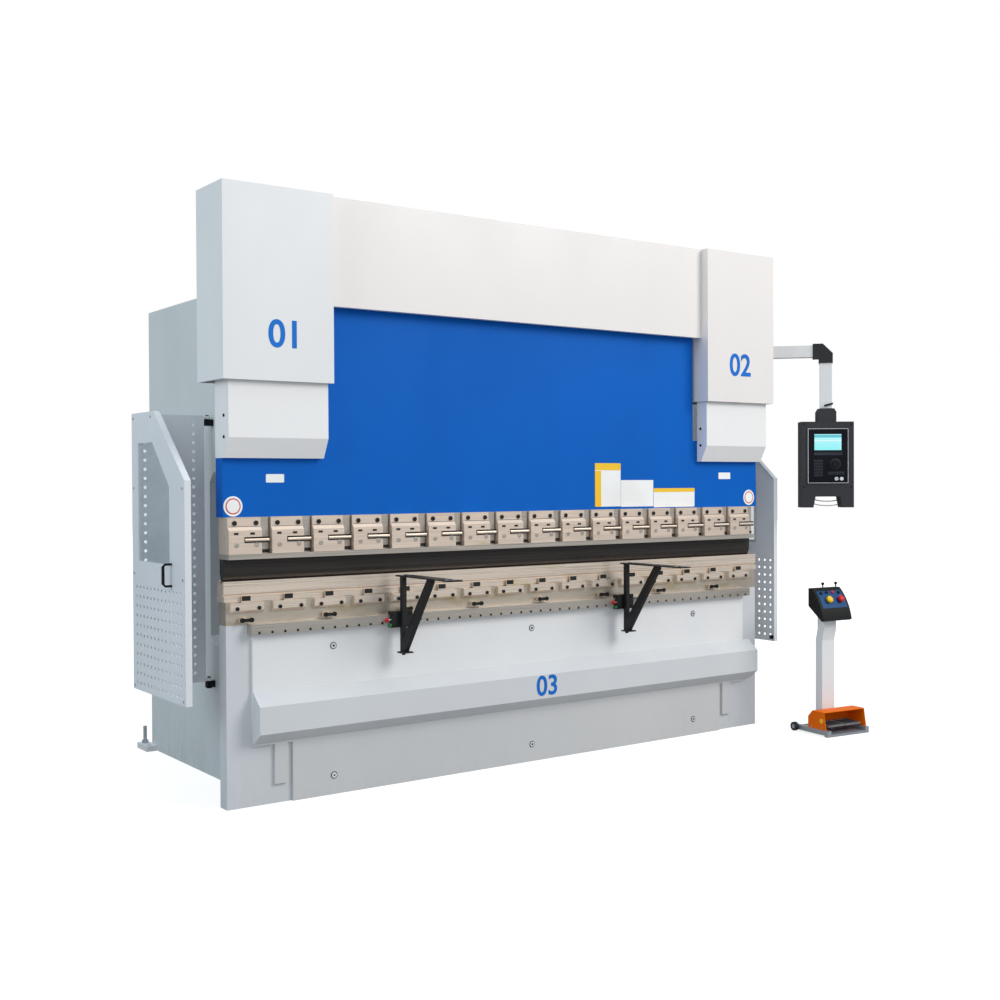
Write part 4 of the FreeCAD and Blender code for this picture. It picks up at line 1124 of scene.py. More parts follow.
@dataclass
class GuardSheets:
    """Folded sheets of one side guard: an outer pan with a window and holes, and a rear pan.

    Attributes:
        side: End of the machine.
        paints: The finishes.
        out: Distance of the outer face from the middle.
        front: Front edge.
        rear: Rear edge.
        low: Lower edge.
        top: Upper edge.
        chamfer: Points of the cut corner, as (y, z).
        window: Lowest and highest corner of the window, as (y, z).
        corner: Points of the window's cut corner, as (y, z).
        sheet: Thickness of the sheet.
        fold: Depth of the folded edges.
        lip: Depth of the window's folded edge.
        hole: Radius of the holes.
        pitch: Distance between holes of the outer pan.
        columns: Columns of holes in the outer pan.
        rows: Rows of holes in the outer pan.
        first_row: Height of the lowest row.
        post_in: Distance of the rear pan's inner edge from the middle.
        post_width: Width of the post at that edge.
        post_y: Front and rear face of the post.
        pin_x: Distance of the hinge pins from the middle.
        pin_y: Y of the hinge pins.
        bar: Height that a flat bar takes up at each end of the post.
        eye: Radius of the bars' round ends.
        rear_front: Front face of the rear pan.
        rear_pitch: Distance between holes of the rear pan.
        rear_columns: Distances of the rear pan's two columns of holes from the middle.
        screw_radius: Radius of the screws.
        bumper: Radius of the rubber bumper.
    """

    side: Side
    paints: Paints
    out: float = 1.780
    front: float = -0.042
    rear: float = 0.577
    low: float = 0.458
    top: float = 1.695
    chamfer: tuple[Pair, Pair] = ((-0.042, 1.393), (0.305, 1.695))
    window: tuple[Pair, Pair] = ((0.128, 1.037), (0.500, 1.560))
    corner: tuple[Pair, Pair] = ((0.128, 1.368), (0.322, 1.560))
    sheet: float = 0.003
    fold: float = 0.028
    lip: float = 0.012
    hole: float = 0.0078
    pitch: float = 0.043
    columns: int = 13
    rows: int = 11
    first_row: float = 0.491
    post_in: float = 1.446
    post_width: float = 0.022
    post_y: Pair = (0.5535, 0.5765)
    pin_x: float = 1.426
    pin_y: float = 0.565
    bar: float = 0.016
    eye: float = 0.0135
    rear_front: float = 0.553
    rear_pitch: float = 0.041
    rear_columns: Pair = (1.498, 1.728)
    screw_radius: float = 0.0055
    bumper: float = 0.012

    def holes(self, piece: Piece) -> None:
        """Opens a round hole at every inner corner of a grid that lies between the rims.

        Args:
            piece: The grid.
        """
        piece.edit("VERT", lambda vertex: not vertex.is_boundary and len(vertex.link_edges) == 4)
        bpy.ops.mesh.bevel(offset=self.hole, segments=2, profile=ROUND, affect="VERTICES")
        largest_hole = 3.4 * self.hole * self.hole
        piece.edit("FACE", lambda face: face.calc_area() < largest_hole)
        bpy.ops.mesh.delete(type="FACE")

    def outer(self) -> Piece:
        """Outer pan: perforated below, with a window above and one cut corner.

        Returns:
            The pan.
        """
        s = self.side.value
        x = s * self.out
        middle = (self.front + self.rear) / 2
        half = self.pitch * (self.columns + 1) / 2
        grid_low = self.first_row - self.pitch
        grid_top = self.first_row + self.pitch * self.rows
        pan = Piece.grid(
            self.side.word + "_guard_sheets",
            (x, middle - half, grid_low),
            (x, middle + half, grid_top),
            Facing.RIGHT if s > 0 else Facing.LEFT,
            self.columns + 1,
            self.rows + 1,
        )
        self.holes(pan)
        near = 0.001
        pan.rims(lambda spot: spot.y > middle + half - near).push((0, self.rear - middle - half, 0))
        pan.rims(lambda spot: spot.y < middle - half + near).push((0, self.front - middle + half, 0))
        pan.rims(lambda spot: spot.z > grid_top - near).push((0, 0, self.top - grid_top))
        pan.edit("FACE", lambda face: True)
        bpy.ops.mesh.bisect(plane_co=(x, 0, self.low), plane_no=(0, 0, -1), clear_outer=True)
        (cut_y, cut_z), (end_y, end_z) = self.chamfer
        self.slice(pan, grid_top, (x, cut_y, cut_z), (0, -(end_z - cut_z), end_y - cut_y), True)
        (y0, z0), (y1, z1) = self.window
        for z in (z0, z1):
            self.slice(pan, grid_top, (x, 0, z), (0, 0, 1), False)
        for y in (y0, y1):
            self.slice(pan, grid_top, (x, y, 0), (0, 1, 0), False)
        (cut_y, cut_z), (end_y, end_z) = self.corner
        slope = (end_z - cut_z) / (end_y - cut_y)
        self.slice(pan, grid_top, (x, cut_y, cut_z), (0, -slope, 1), False)
        rim = 0.004

        def inside(spot: Vector, margin: float) -> bool:
            """Says whether a point lies in the window or within a margin of it."""
            within = y0 - margin < spot.y < y1 + margin and z0 - margin < spot.z < z1 + margin
            return within and spot.z - cut_z < slope * (spot.y - cut_y) + margin

        pan.faces(lambda spot, normal: inside(spot, 0.0))
        bpy.ops.mesh.delete(type="FACE")
        pan.rims(lambda spot: inside(spot, rim)).push((-s * self.lip, 0, 0))
        pan.rims(
            lambda spot: not inside(spot, rim) and not self.is_hole(spot, middle)
        ).push((-s * self.fold, 0, 0))
        return pan.modify("SOLIDIFY", thickness=self.sheet, offset=-1.0, use_even_offset=True)

    def is_hole(self, spot: Vector, middle: float) -> bool:
        """Says whether an open edge belongs to one of the round holes.

        Args:
            spot: Middle of the edge.
            middle: Middle of the perforated field along Y.

        Returns:
            True for the edge of a hole.
        """
        column = (spot.y - middle) / self.pitch
        row = (spot.z - self.first_row) / self.pitch
        near_y = abs(column - round(column)) * self.pitch
        near_z = abs(row - round(row)) * self.pitch
        close = math.hypot(near_y, near_z) < 1.2 * self.hole
        return close and -0.5 < row < self.rows - 0.5 and abs(round(column)) <= self.columns // 2

    @staticmethod
    def slice(piece: Piece, above: float, spot: Point, normal: Point, clear: bool) -> None:
        """Cuts the faces above a height with a plane.

        Args:
            piece: Piece to cut.
            above: Only faces above this height are cut.
            spot: Point on the plane.
            normal: Normal of the plane.
            clear: Whether the outer side is removed.
        """
        piece.faces(lambda middle, _: middle.z > above)
        bpy.ops.mesh.bisect(plane_co=spot, plane_no=normal, clear_outer=clear)

    def inner(self) -> Piece:
        """Rear pan with its two columns of round holes and folded edges.

        Returns:
            The pan.
        """
        s = self.side.value
        far = self.out - self.sheet
        count = int((self.top - self.low) / self.rear_pitch)
        low = (self.low + self.top) / 2 - self.rear_pitch * count / 2
        top = low + self.rear_pitch * count
        start, end = sorted((s * self.post_in, s * far))
        corners = ((start, self.rear_front, low), (end, self.rear_front, top))
        pan = Piece.grid("rear_pan", *corners, Facing.FRONT, 3, count)
        step = (far - self.post_in) / 3
        near = 0.001
        for index, column in enumerate(self.rear_columns, 1):
            was = s * (self.post_in + step * index)
            pan.edit("VERT", lambda vertex: abs(vertex.co.x - was) < near)
            bpy.ops.transform.translate(value=(s * column - was, 0, 0))
        self.holes(pan)
        pan.rims(lambda spot: spot.z > top - near).push((0, 0, self.top - top))
        pan.rims(lambda spot: spot.z < low + near).push((0, 0, self.low - low))
        rim = 0.0005
        pan.rims(
            lambda spot: spot.z < self.low + rim
            or spot.z > self.top - rim
            or abs(abs(spot.x) - self.post_in) < rim
        ).push((0, self.rear - self.rear_front - self.sheet, 0))
        return pan.modify("SOLIDIFY", thickness=self.sheet, offset=-1.0)

    def bars(self) -> Piece:
        """Post on the hinge side with the flat bars that reach the pins.

        Returns:
            The post.
        """
        s = self.side.value
        front, rear = self.post_y
        strut = Piece.box(
            "post",
            (s * self.post_in, front, self.low),
            (s * (self.post_in + self.post_width), rear, self.top),
        )
        strut.soften(0.002)
        flats = []
        for z in (self.low, self.top - self.bar):
            pin = s * self.pin_x
            inside = s * (self.post_in + 0.01)
            flat = Piece.box("flat", (pin, front, z + 0.002), (inside, rear, z + 0.014))
            ends = ((pin, self.pin_y, z + 0.001), (pin, self.pin_y, z + 0.015))
            eye = Piece.bar("eye", *ends, self.eye)
            flats += [flat.soften(0.0015), eye.soften(0.001)]
        return strut.join(flats)

    def trim(self) -> None:
        """Adds the screws and the bumper."""
        s = self.side.value
        body = self.side.word + "_guard"
        skin = self.out + 0.0004
        ends = ((s * (skin - 0.001), 0, 0), (s * (skin + 0.0022), 0, 0))
        screw = Piece.bar("screw", *ends, self.screw_radius, 12)
        screw.faces(lambda spot, normal: abs(spot.x) > skin + 0.002).inset(0.0022, -0.0012)
        spots = [(0, y, z) for y in (-0.018, 0.555) for z in (0.475, 0.98, 1.36)]
        spots += [(0, y, 1.672) for y in (0.555, 0.34)]
        screw.row(spots).outward().done(body, self.paints["zinc_steel"])
        screw.obj.name = body + "_screws"
        height = self.low + 0.022
        ends = ((s * (self.out - 0.034), -0.02, height), (s * (self.out - 0.020), -0.02, height))
        bumper = Piece.bar(body + "_bumper", *ends, self.bumper, 20)
        bumper.soften(0.003).done(body, self.paints["black_plastic"])

    def build(self) -> None:
        """Builds the guard and hides the plain node that it stands for."""
        body = self.side.word + "_guard"
        sheets = self.outer().join([self.inner(), self.bars()]).outward(0.0)
        sheets.done(body, self.paints["guard_enamel"], 30.0)
        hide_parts(body)
        self.trim()


@dataclass
class Tooling:
    """Fasteners of the punch clamps, die clamps and rail.

    Attributes:
        paints: The finishes.
        first: Left edge of the first clamp.
        pitch: Distance from clamp to clamp.
        count: Number of clamps.
        jaw_face: Y of the clamps' upper part.
        foot_face: Y of their lower part.
        gap_face: Y of the fillers between them.
        step_face: Y of the line below the upper part.
        die_face: Y of the die clamps.
        knob_face: Y of the die clamps' lower part.
        rail_face: Y of the front rail.
        panel_face: Y of the front panel.
        jaw_height: Height of the upper part's screws.
        step_height: Height of the line below them.
        slot_height: Height of the slots.
        track_height: Height of the tracks that the wedge rods run in.
        foot_height: Height of the lower part's screws.
        gap_height: Height of the dark blocks that paint the shade at the foot of the gaps.
        claw_height: Height of the keys above the die clamps.
        die_height: Height of the die clamps' screws.
        knob_height: Height of the knob screws and their bridges.
        hole_height: Height of the rail's holes.
        hole_start: X of the first hole.
        hole_pitch: Distance from hole to hole.
        hole_count: Number of holes.
        pins: Places of the front panel's pins along X.
        pin_heights: Heights of the pins.
    """

    paints: Paints
    first: float = -1.602
    pitch: float = 0.1975
    count: int = 16
    jaw_face: float = -0.064
    foot_face: float = -0.078
    gap_face: float = -0.052
    step_face: float = -0.0655
    die_face: float = -0.053
    knob_face: float = -0.059
    rail_face: float = -0.085
    panel_face: float = -0.049
    jaw_height: float = 1.212
    step_height: float = 1.1975
    slot_height: float = 1.168
    track_height: float = 1.141
    foot_height: float = 1.120
    gap_height: float = 1.092
    claw_height: float = 0.893
    die_height: float = 0.850
    knob_height: float = 0.801
    hole_height: float = 0.746
    hole_start: float = -1.470
    hole_pitch: float = 0.060
    hole_count: int = 50
    pins: tuple[float, ...] = (-1.1, 0.0, 1.1)
    pin_heights: Pair = (0.66, 0.085)

    def spots(
        self, along: Sequence[float], face: float, height: float, every: int = 1
    ) -> list[Point]:
        """Places of a fitting on every clamp, or on every second one.

        Args:
            along: Distances from the clamp's left edge.
            face: Y of the face.
            height: Z of the fitting.
            every: 1 for every clamp, 2 for every second one.

        Returns:
            The places.
        """
        lefts = [self.first + self.pitch * i for i in range(0, self.count, every)]
        return [(left + x, face, height) for left in lefts for x in along]

    def clamp_screws(self) -> None:
        """Adds what sits on the punch clamps and rides on the ram, with dark blocks that paint the
        shade in the gaps.
        """
        dark = self.paints["dark_socket"]
        jaw = Piece.head("clamp_jaw_screws", 0.0105, 0.0035)
        jaw.row(self.spots((0.031, 0.129), self.jaw_face, self.jaw_height)).done("ram", dark)
        foot = Piece.head("clamp_foot_screws", 0.0105, 0.0018, 0.5)
        foot.row(self.spots((0.035, 0.126), self.foot_face, self.foot_height))
        foot.done("ram", self.paints["rail_steel"])
        slot = Piece.box("clamp_slots", (-0.010, 0.001, -0.0045), (0.010, -0.0012, 0.0045))
        slot.facing(Facing.FRONT).inset(0.0014, -0.0004)
        slot.row(self.spots((0.033, 0.107), self.foot_face, self.slot_height)).done("ram", dark)
        track = Piece.box("clamp_tracks", (-0.057, 0.001, -0.0125), (0.057, -0.0010, 0.0125))
        track.facing(Facing.FRONT).inset(0.002, -0.0004)
        track.row(self.spots((0.127,), self.foot_face, self.track_height)).done("ram", dark)
        # Painted shadow: dark blocks at the foot of each gap between clamps, where shade falls.
        gap_shadow = Piece.box("clamp_gap_keys", (-0.019, 0.001, -0.007), (0.019, -0.0030, 0.007))
        gap_shadow.soften(0.0012)
        gap_shadow.row(self.spots((0.1735,), self.gap_face, self.gap_height)).done("ram", dark)
        edge = Piece.box("clamp_step_lines", (-0.073, 0.0015, -0.0012), (0.073, -0.0008, 0.0012))
        edge.soften(0.0005)
        edge.row(self.spots((0.075,), self.step_face, self.step_height))
        edge.done("ram", self.paints["machine_grey"])

    def die_screws(self) -> None:
        """Adds what sits on the die clamps."""
        dark = self.paints["dark_socket"]
        die = Piece.head("die_clamp_screws", 0.0085, 0.004)
        die.row(self.spots((0.047, 0.147), self.die_face, self.die_height)).done("root", dark)
        knob = Piece.head("die_knob_screws", 0.0105, 0.006, 0.45, 16)
        bridge = Piece.box("bridge", (-0.032, 0.001, -0.0075), (0.032, -0.0015, 0.0075))
        bridge.soften(0.001).row(self.spots((0.087,), self.knob_face, self.knob_height, 2))
        knob.row(self.spots((0.066, 0.108), self.knob_face, self.knob_height, 2))
        knob.join([bridge]).done("root", dark)
        claw = Piece.box("die_claw_keys", (-0.0195, 0.001, -0.010), (0.0195, -0.0016, 0.010))
        claw.facing(Facing.FRONT).inset(0.004, 0.0004).inset(0.005, -0.001)
        claw.row(self.spots((0.087,), self.die_face, self.claw_height)).done("root", dark)

    def panel_pins(self) -> None:
        """Adds the rail's holes and the front panel's pins."""
        dark = self.paints["dark_socket"]
        hole = Piece.head("rail_holes", 0.0062, 0.0006, 0.6, 10)
        places = [self.hole_start + self.hole_pitch * i for i in range(self.hole_count)]
        hole.row([(x, self.rail_face, self.hole_height) for x in places]).done("root", dark)
        caps = [(x, self.panel_face, z) for x in self.pins for z in self.pin_heights]
        seat = Piece.head("panel_pin_seats", 0.0160, 0.0012, 0.0, 28)
        seat.row(caps).done("root", dark)
        cap = Piece.head("panel_pin_caps", 0.0125, 0.003, 0.5, 28)
        cap.row(caps).done("root", self.paints["label_grey"])
        core = Piece.head("panel_pin_cores", 0.0042, 0.0040, 0.5, 12)
        core.row(caps).done("root", dark)

    def build(self) -> None:
        """Builds the fasteners."""
        self.clamp_screws()
        self.die_screws()
        self.panel_pins()


@dataclass
class RamMarks:
    """Plain plates on the ram, and numerals on the covers and the apron.

    Attributes:
        paints: The finishes.
        face: Y of the ram's front.
        band: How far the coloured bands stand out.
        skirt_face: Y of the screws in the skirts.
    """

    paints: Paints
    face: float = -0.035
    band: float = 0.0018
    skirt_face: float = -0.062

    def plate(self, name: str, low: Pair, high: Pair, finish: str, lift: float = 0.0012) -> None:
        """Thin plate on the ram.

        Args:
            name: Name of the piece.
            low: Lowest corner as (x, z).
            high: Highest corner as (x, z).
            finish: Name of the finish.
            lift: How far it stands out.
        """
        corners = ((low[0], self.face - lift, low[1]), (high[0], self.face + 0.001, high[1]))
        sheet = Piece.box(name, *corners)
        sheet.edit("EDGE", lambda edge: abs(edge.verts[0].co.y - edge.verts[1].co.y) > 0.5 * lift)
        bpy.ops.mesh.bevel(offset=0.004, segments=3, affect="EDGES")
        sheet.done("ram", self.paints[finish])

    def disc(self, name: str, x: float, z: float) -> None:
        """Round plain sign with a raised rim.

        Args:
            name: Name of the sign.
            x: X of its middle.
            z: Z of its middle.
        """
        for ending, radius, lift, finish in (
            ("", 0.043, 0.0014, "label_white"),
            ("_ring", 0.034, 0.0020, "label_red"),
            ("_core", 0.029, 0.0024, "label_white"),
        ):
            part = Piece.head(name + ending, radius, lift, 0.0, 40)
            if ending != "_core":
                part.faces(
                    lambda spot, normal: normal.y < -FACED and max(abs(spot.x), abs(spot.z)) < 0.01
                ).inset(0.003, -0.0004)
            part.place(Matrix.Translation((x, self.face, z))).done("ram", self.paints[finish])

    def build(self) -> None:
        """Builds the plates, signs and numerals."""
        self.plate("left_tag", (-1.412, 1.383), (-1.327, 1.419), "label_white")
        self.plate("right_tag", (1.312, 1.391), (1.403, 1.427), "label_white")
        self.plate("tall_plate", (0.421, 1.251), (0.595, 1.475), "label_white")
        self.plate("tall_plate_band", (0.421, 1.439), (0.595, 1.475), "label_yellow", self.band)
        self.plate("tall_plate_side", (0.421, 1.251), (0.462, 1.436), "label_yellow", self.band)
        self.plate("wide_plate", (0.597, 1.248), (0.824, 1.387), "label_white")
        self.plate("long_plate", (0.827, 1.242), (1.127, 1.343), "label_white")
        self.plate("long_plate_band", (0.827, 1.323), (1.127, 1.343), "label_yellow", self.band)
        self.disc("left_sign", -1.564, 1.283)
        self.disc("right_sign", 1.551, 1.287)
        for name, digits, low, high in (
            ("numeral_1", "01", (-1.451, -0.1362, 1.952), (-1.303, -0.1345, 2.072)),
            ("numeral_2", "02", (1.305, -0.1362, 1.955), (1.457, -0.1345, 2.079)),
            ("numeral_3", "03", (-0.018, -0.1212, 0.332), (0.097, -0.1195, 0.432)),
        ):
            Piece.numeral(name, digits, low, high).done("root", self.paints["label_blue"])
        leftward = Matrix.Rotation(math.pi / 2, 4, "Z").inverted()
        for side, x in ((Side.LEFT, -1.613), (Side.RIGHT, 1.149)):
            screw = Piece.head(side.word + "_skirt_screws", 0.007, 0.003, 0.4).place(leftward)
            screw.row([(x, self.skirt_face, z) for z in (1.575, 1.665)])
            screw.done("ram", self.paints["dark_socket"])


@dataclass
class SupportArm:
    """Clamp knob, stop and foot screw of one sheet support arm.

    Attributes:
        side: Which arm.
        x: Middle of the arm.
        paints: The finishes.
        knob_offset: Distance of the carriage's left side from the middle.
        knob_y: Y of the clamp knob.
        knob_height: Height of the clamp knob.
        foot_y: Y of the foot screw's spindle.
        plate_screws: Places of the top plate's screws along X and along Y.
    """

    side: Side
    x: float
    paints: Paints
    knob_offset: float = 0.056
    knob_y: float = -0.0995
    knob_height: float = 0.760
    foot_y: float = -0.112
    plate_screws: tuple[Pair, Pair] = ((-0.02, 0.02), (-0.50, -0.13))

    def build(self) -> None:
        """Builds the fittings."""
        word = self.side.word
        body = word + "_support_arm"
        left = self.x - self.knob_offset
        y, z = self.knob_y, self.knob_height
        stub = Piece.bar(
            word + "_arm_spindle", (left + 0.002, -0.0955, z), (left - 0.018, y, z), 0.004, 12
        )
        stub.soften(0.0012).done(body, self.paints["zinc_steel"])
        knob = Piece.bar(word + "_arm_knob", (left - 0.016, y, z), (left - 0.030, y, z), 0.0092, 24)
        knob.soften(0.003).done(body, self.paints["signal_red"])
        stop = Piece.box(
            word + "_arm_latch", (left - 0.012, -0.1030, 0.728), (left + 0.002, -0.0905, 0.743)
        )
        stop.soften(0.003).done(body, self.paints["signal_green"])
        screw = Piece.head(word + "_carriage_screws", 0.007, 0.004)
        spots = [(self.x + x, -0.100, z) for x in (-0.045, 0.045) for z in (0.736, 0.785)]
        screw.row(spots).done(body, self.paints["dark_socket"])
        foot = Piece.head(word + "_arm_foot_screw", 0.010, 0.009, 0.5, 6)
        foot.place(Matrix.Translation((self.x, -0.122, 0.640)))
        ends = ((self.x, self.foot_y, 0.598), (self.x, self.foot_y, 0.612))
        spindle = Piece.bar("spindle", *ends, 0.008, 16).soften(0.002)
        foot.join([spindle]).done(body, self.paints["dark_socket"])
        corners = ((-0.008, -0.008, 0.9615), (0.008, 0.008, 0.9630))
        pads = Piece.box(word + "_arm_plate_screws", *corners)
        across, along = self.plate_screws
        pads.soften(0.0006).row([(self.x + x, y, 0) for x in across for y in along])
        pads.done(body, self.paints["zinc_steel"])
        bends = ((0.050, -0.096, 0.768), (0.080, -0.103, 0.772), (0.098, -0.108, 0.752))
        points = [(self.x + x, y, z) for x, y, z in bends]
        lever = Piece.tube(word + "_arm_lever", points, 0.0045)
        finish = "machine_grey" if self.side is Side.RIGHT else "black_plastic"
        lever.done(body, self.paints[finish])


class Turned:
    """Place of a group that stands at an angle to the machine."""

    def __init__(self, x: float, y: float, angle: float) -> None:
        """Keeps the place as a matrix."""
        self.matrix = Matrix.Translation((x, y, 0)) @ Matrix.Rotation(math.radians(angle), 4, "Z")

    def set(self, piece: Piece, body: str, material: bpy.types.Material, smooth: float = 35.0) -> Piece:
        """Puts a piece in its place and dresses it."""
        return piece.place(self.matrix).done(body, material, smooth)


@dataclass
class Pendant:
    """Keys, dial, display and wires of the operator pendant.

    Attributes:
        paints: The finishes.
        face: Y of the pendant's panel, in the pendant's own axes.
        spot: Place and angle of the pendant.
        dial: Middle of the dial, as (x, z).
        button_height: Height of the two round buttons.
        wires: Heights of the lowest points of the two wires.
        vent_start: Height of the lowest vent.
        vent_pitch: Distance between vents.
        vent_count: Number of vents.
    """

    paints: Paints
    face: float = -0.053
    spot: Turned = field(default_factory=lambda: Turned(1.974, -0.232, -35.65))
    dial: Pair = (0.040, 1.474)
    button_height: float = 1.390
    wires: Pair = (1.237, 1.262)
    vent_start: float = 1.46
    vent_pitch: float = 0.016
    vent_count: int = 8

    def set(self, piece: Piece, finish: str, body: str = "pendant_box") -> None:
        """Puts a piece in its place on the pendant and dresses it."""
        self.spot.set(piece, body, self.paints[finish])

    def build(self) -> None:
        """Builds the pendant's fittings."""
        self.display()
        self.keys("pendant_keypad", (-0.0775, 1.4090), (5, 6), (0.0105, 0.0165), (0.0088, 0.0130))
        self.keys("pendant_keys", (0.0070, 1.4220), (6, 1), (0.0155, 0.0), (0.0125, 0.0170))
        self.keys(
            "pendant_soft_keys", (-0.0700, 1.5335), (9, 1), (0.0180, 0.0), (0.0140, 0.0110),
            "label_grey", 0.0006,
        )
        self.controls()
        self.casing()

    def display(self) -> None:
        """Adds the bezel, the display with its frame and the strip for the soft keys."""
        face = self.face
        corners = ((-0.1145, face + 0.004, 1.3655), (0.1145, face - 0.0015, 1.6750))
        bezel = Piece.box("pendant_bezel", *corners)
        bezel.facing(Facing.FRONT).inset(0.0022)
        bpy.ops.mesh.delete(type="FACE")
        bezel.facing(Facing.REAR)
        bpy.ops.mesh.delete(type="FACE")
        self.set(bezel.modify("SOLIDIFY", thickness=0.0015, offset=-1.0), "label_grey")
        corners = ((-0.084, face + 0.001, 1.5465), (0.081, face - 0.0022, 1.6490))
        rim = Piece.box("display_frame", *corners)
        self.set(rim.facing(Facing.FRONT).inset(0.0055, -0.0012), "black_plastic")
        corners = ((-0.078, face - 0.0005, 1.5525), (0.075, face - 0.0018, 1.6430))
        glass = Piece.box("pendant_display", *corners)
        self.set(glass.facing(Facing.FRONT).inset(0.0012, -0.0003), "display_glow")
        corners = ((-0.080, face + 0.001, 1.5240), (0.081, face - 0.0018, 1.5430))
        strip = Piece.box("pendant_strip", *corners)
        self.set(strip.facing(Facing.FRONT).inset(0.0015, -0.0006), "key_grey")

    def controls(self) -> None:
        """Adds the dial with its ring, and the two round buttons."""
        middle = Matrix.Translation((self.dial[0], self.face, self.dial[1]))
        self.set(Piece.head("dial_ring", 0.031, 0.006, 0.0, 40).place(middle), "key_grey")
        self.set(Piece.head("pendant_dial", 0.024, 0.018, 0.0, 32).place(middle), "black_plastic")
        button = Piece.head("pendant_buttons", 0.0105, 0.006, 0.55, 24)
        button.row([(x, self.face, self.button_height) for x in (0.046, 0.076)])
        self.set(button, "label_grey")

    def casing(self) -> None:
        """Adds the wires below the panel, the arm's latch, the screws and the vents."""
        for index, low in enumerate(self.wires, 1):
            points = (
                (-0.086, 0.0, low + 0.016),
                (-0.045, -0.012, low + 0.004),
                (0.005, -0.016, low),
                (0.055, -0.012, low + 0.004),
                (0.098, 0.0, low + 0.014),
            )
            self.set(Piece.tube(f"pendant_wire_{index}", points, 0.0028), "bright_steel")
        latch = Piece.box("pendant_latch", (-0.018, -0.046, 1.800), (0.031, -0.032, 1.811))
        latch.facing(Facing.RIGHT)
        bpy.ops.transform.translate(value=(0, 0, 0.012))
        self.set(latch.soften(0.003), "black_plastic", "pendant_arm")
        screws = Piece.head("pendant_casing_screws", 0.006, 0.002, 0.4, 16)
        screws.row([(x, -0.048, z) for x in (-0.134, 0.134) for z in (1.345, 1.70)])
        self.set(screws, "dark_socket")
        vents = Piece.box("pendant_vents", (-0.07, 0.0475, -0.003), (0.07, 0.0495, 0.003))
        places = [(0, 0, self.vent_start + self.vent_pitch * i) for i in range(self.vent_count)]
        self.set(vents.soften(0.001).row(places), "black_plastic")

    def keys(
        self,
        name: str,
        first: Pair,
        count: tuple[int, int],
        step: Pair,
        size: Pair,
        finish: str = "key_grey",
        lift: float = 0.0022,
    ) -> None:
        """Grid of small keys.

        Args:
            name: Name of the piece.
            first: Middle of the lowest key on the left, as (x, z).
            count: Number of keys along X and Z.
            step: Distance between keys along X and Z.
            size: Width and height of a key.
            finish: Name of the finish.
            lift: How far a key stands out.
        """
        (x, z), (across, up), (width, height) = first, count, size
        key = Piece.box(name, (-width / 2, 0.001, -height / 2), (width / 2, -lift, height / 2))
        key.facing(Facing.FRONT).inset(0.0012, lift * 0.25)
        columns = [x + step[0] * i for i in range(across)]
        rows = [z + step[1] * j for j in range(up)]
        key.row([(column, self.face, row) for column in columns for row in rows])
        self.set(key, finish)


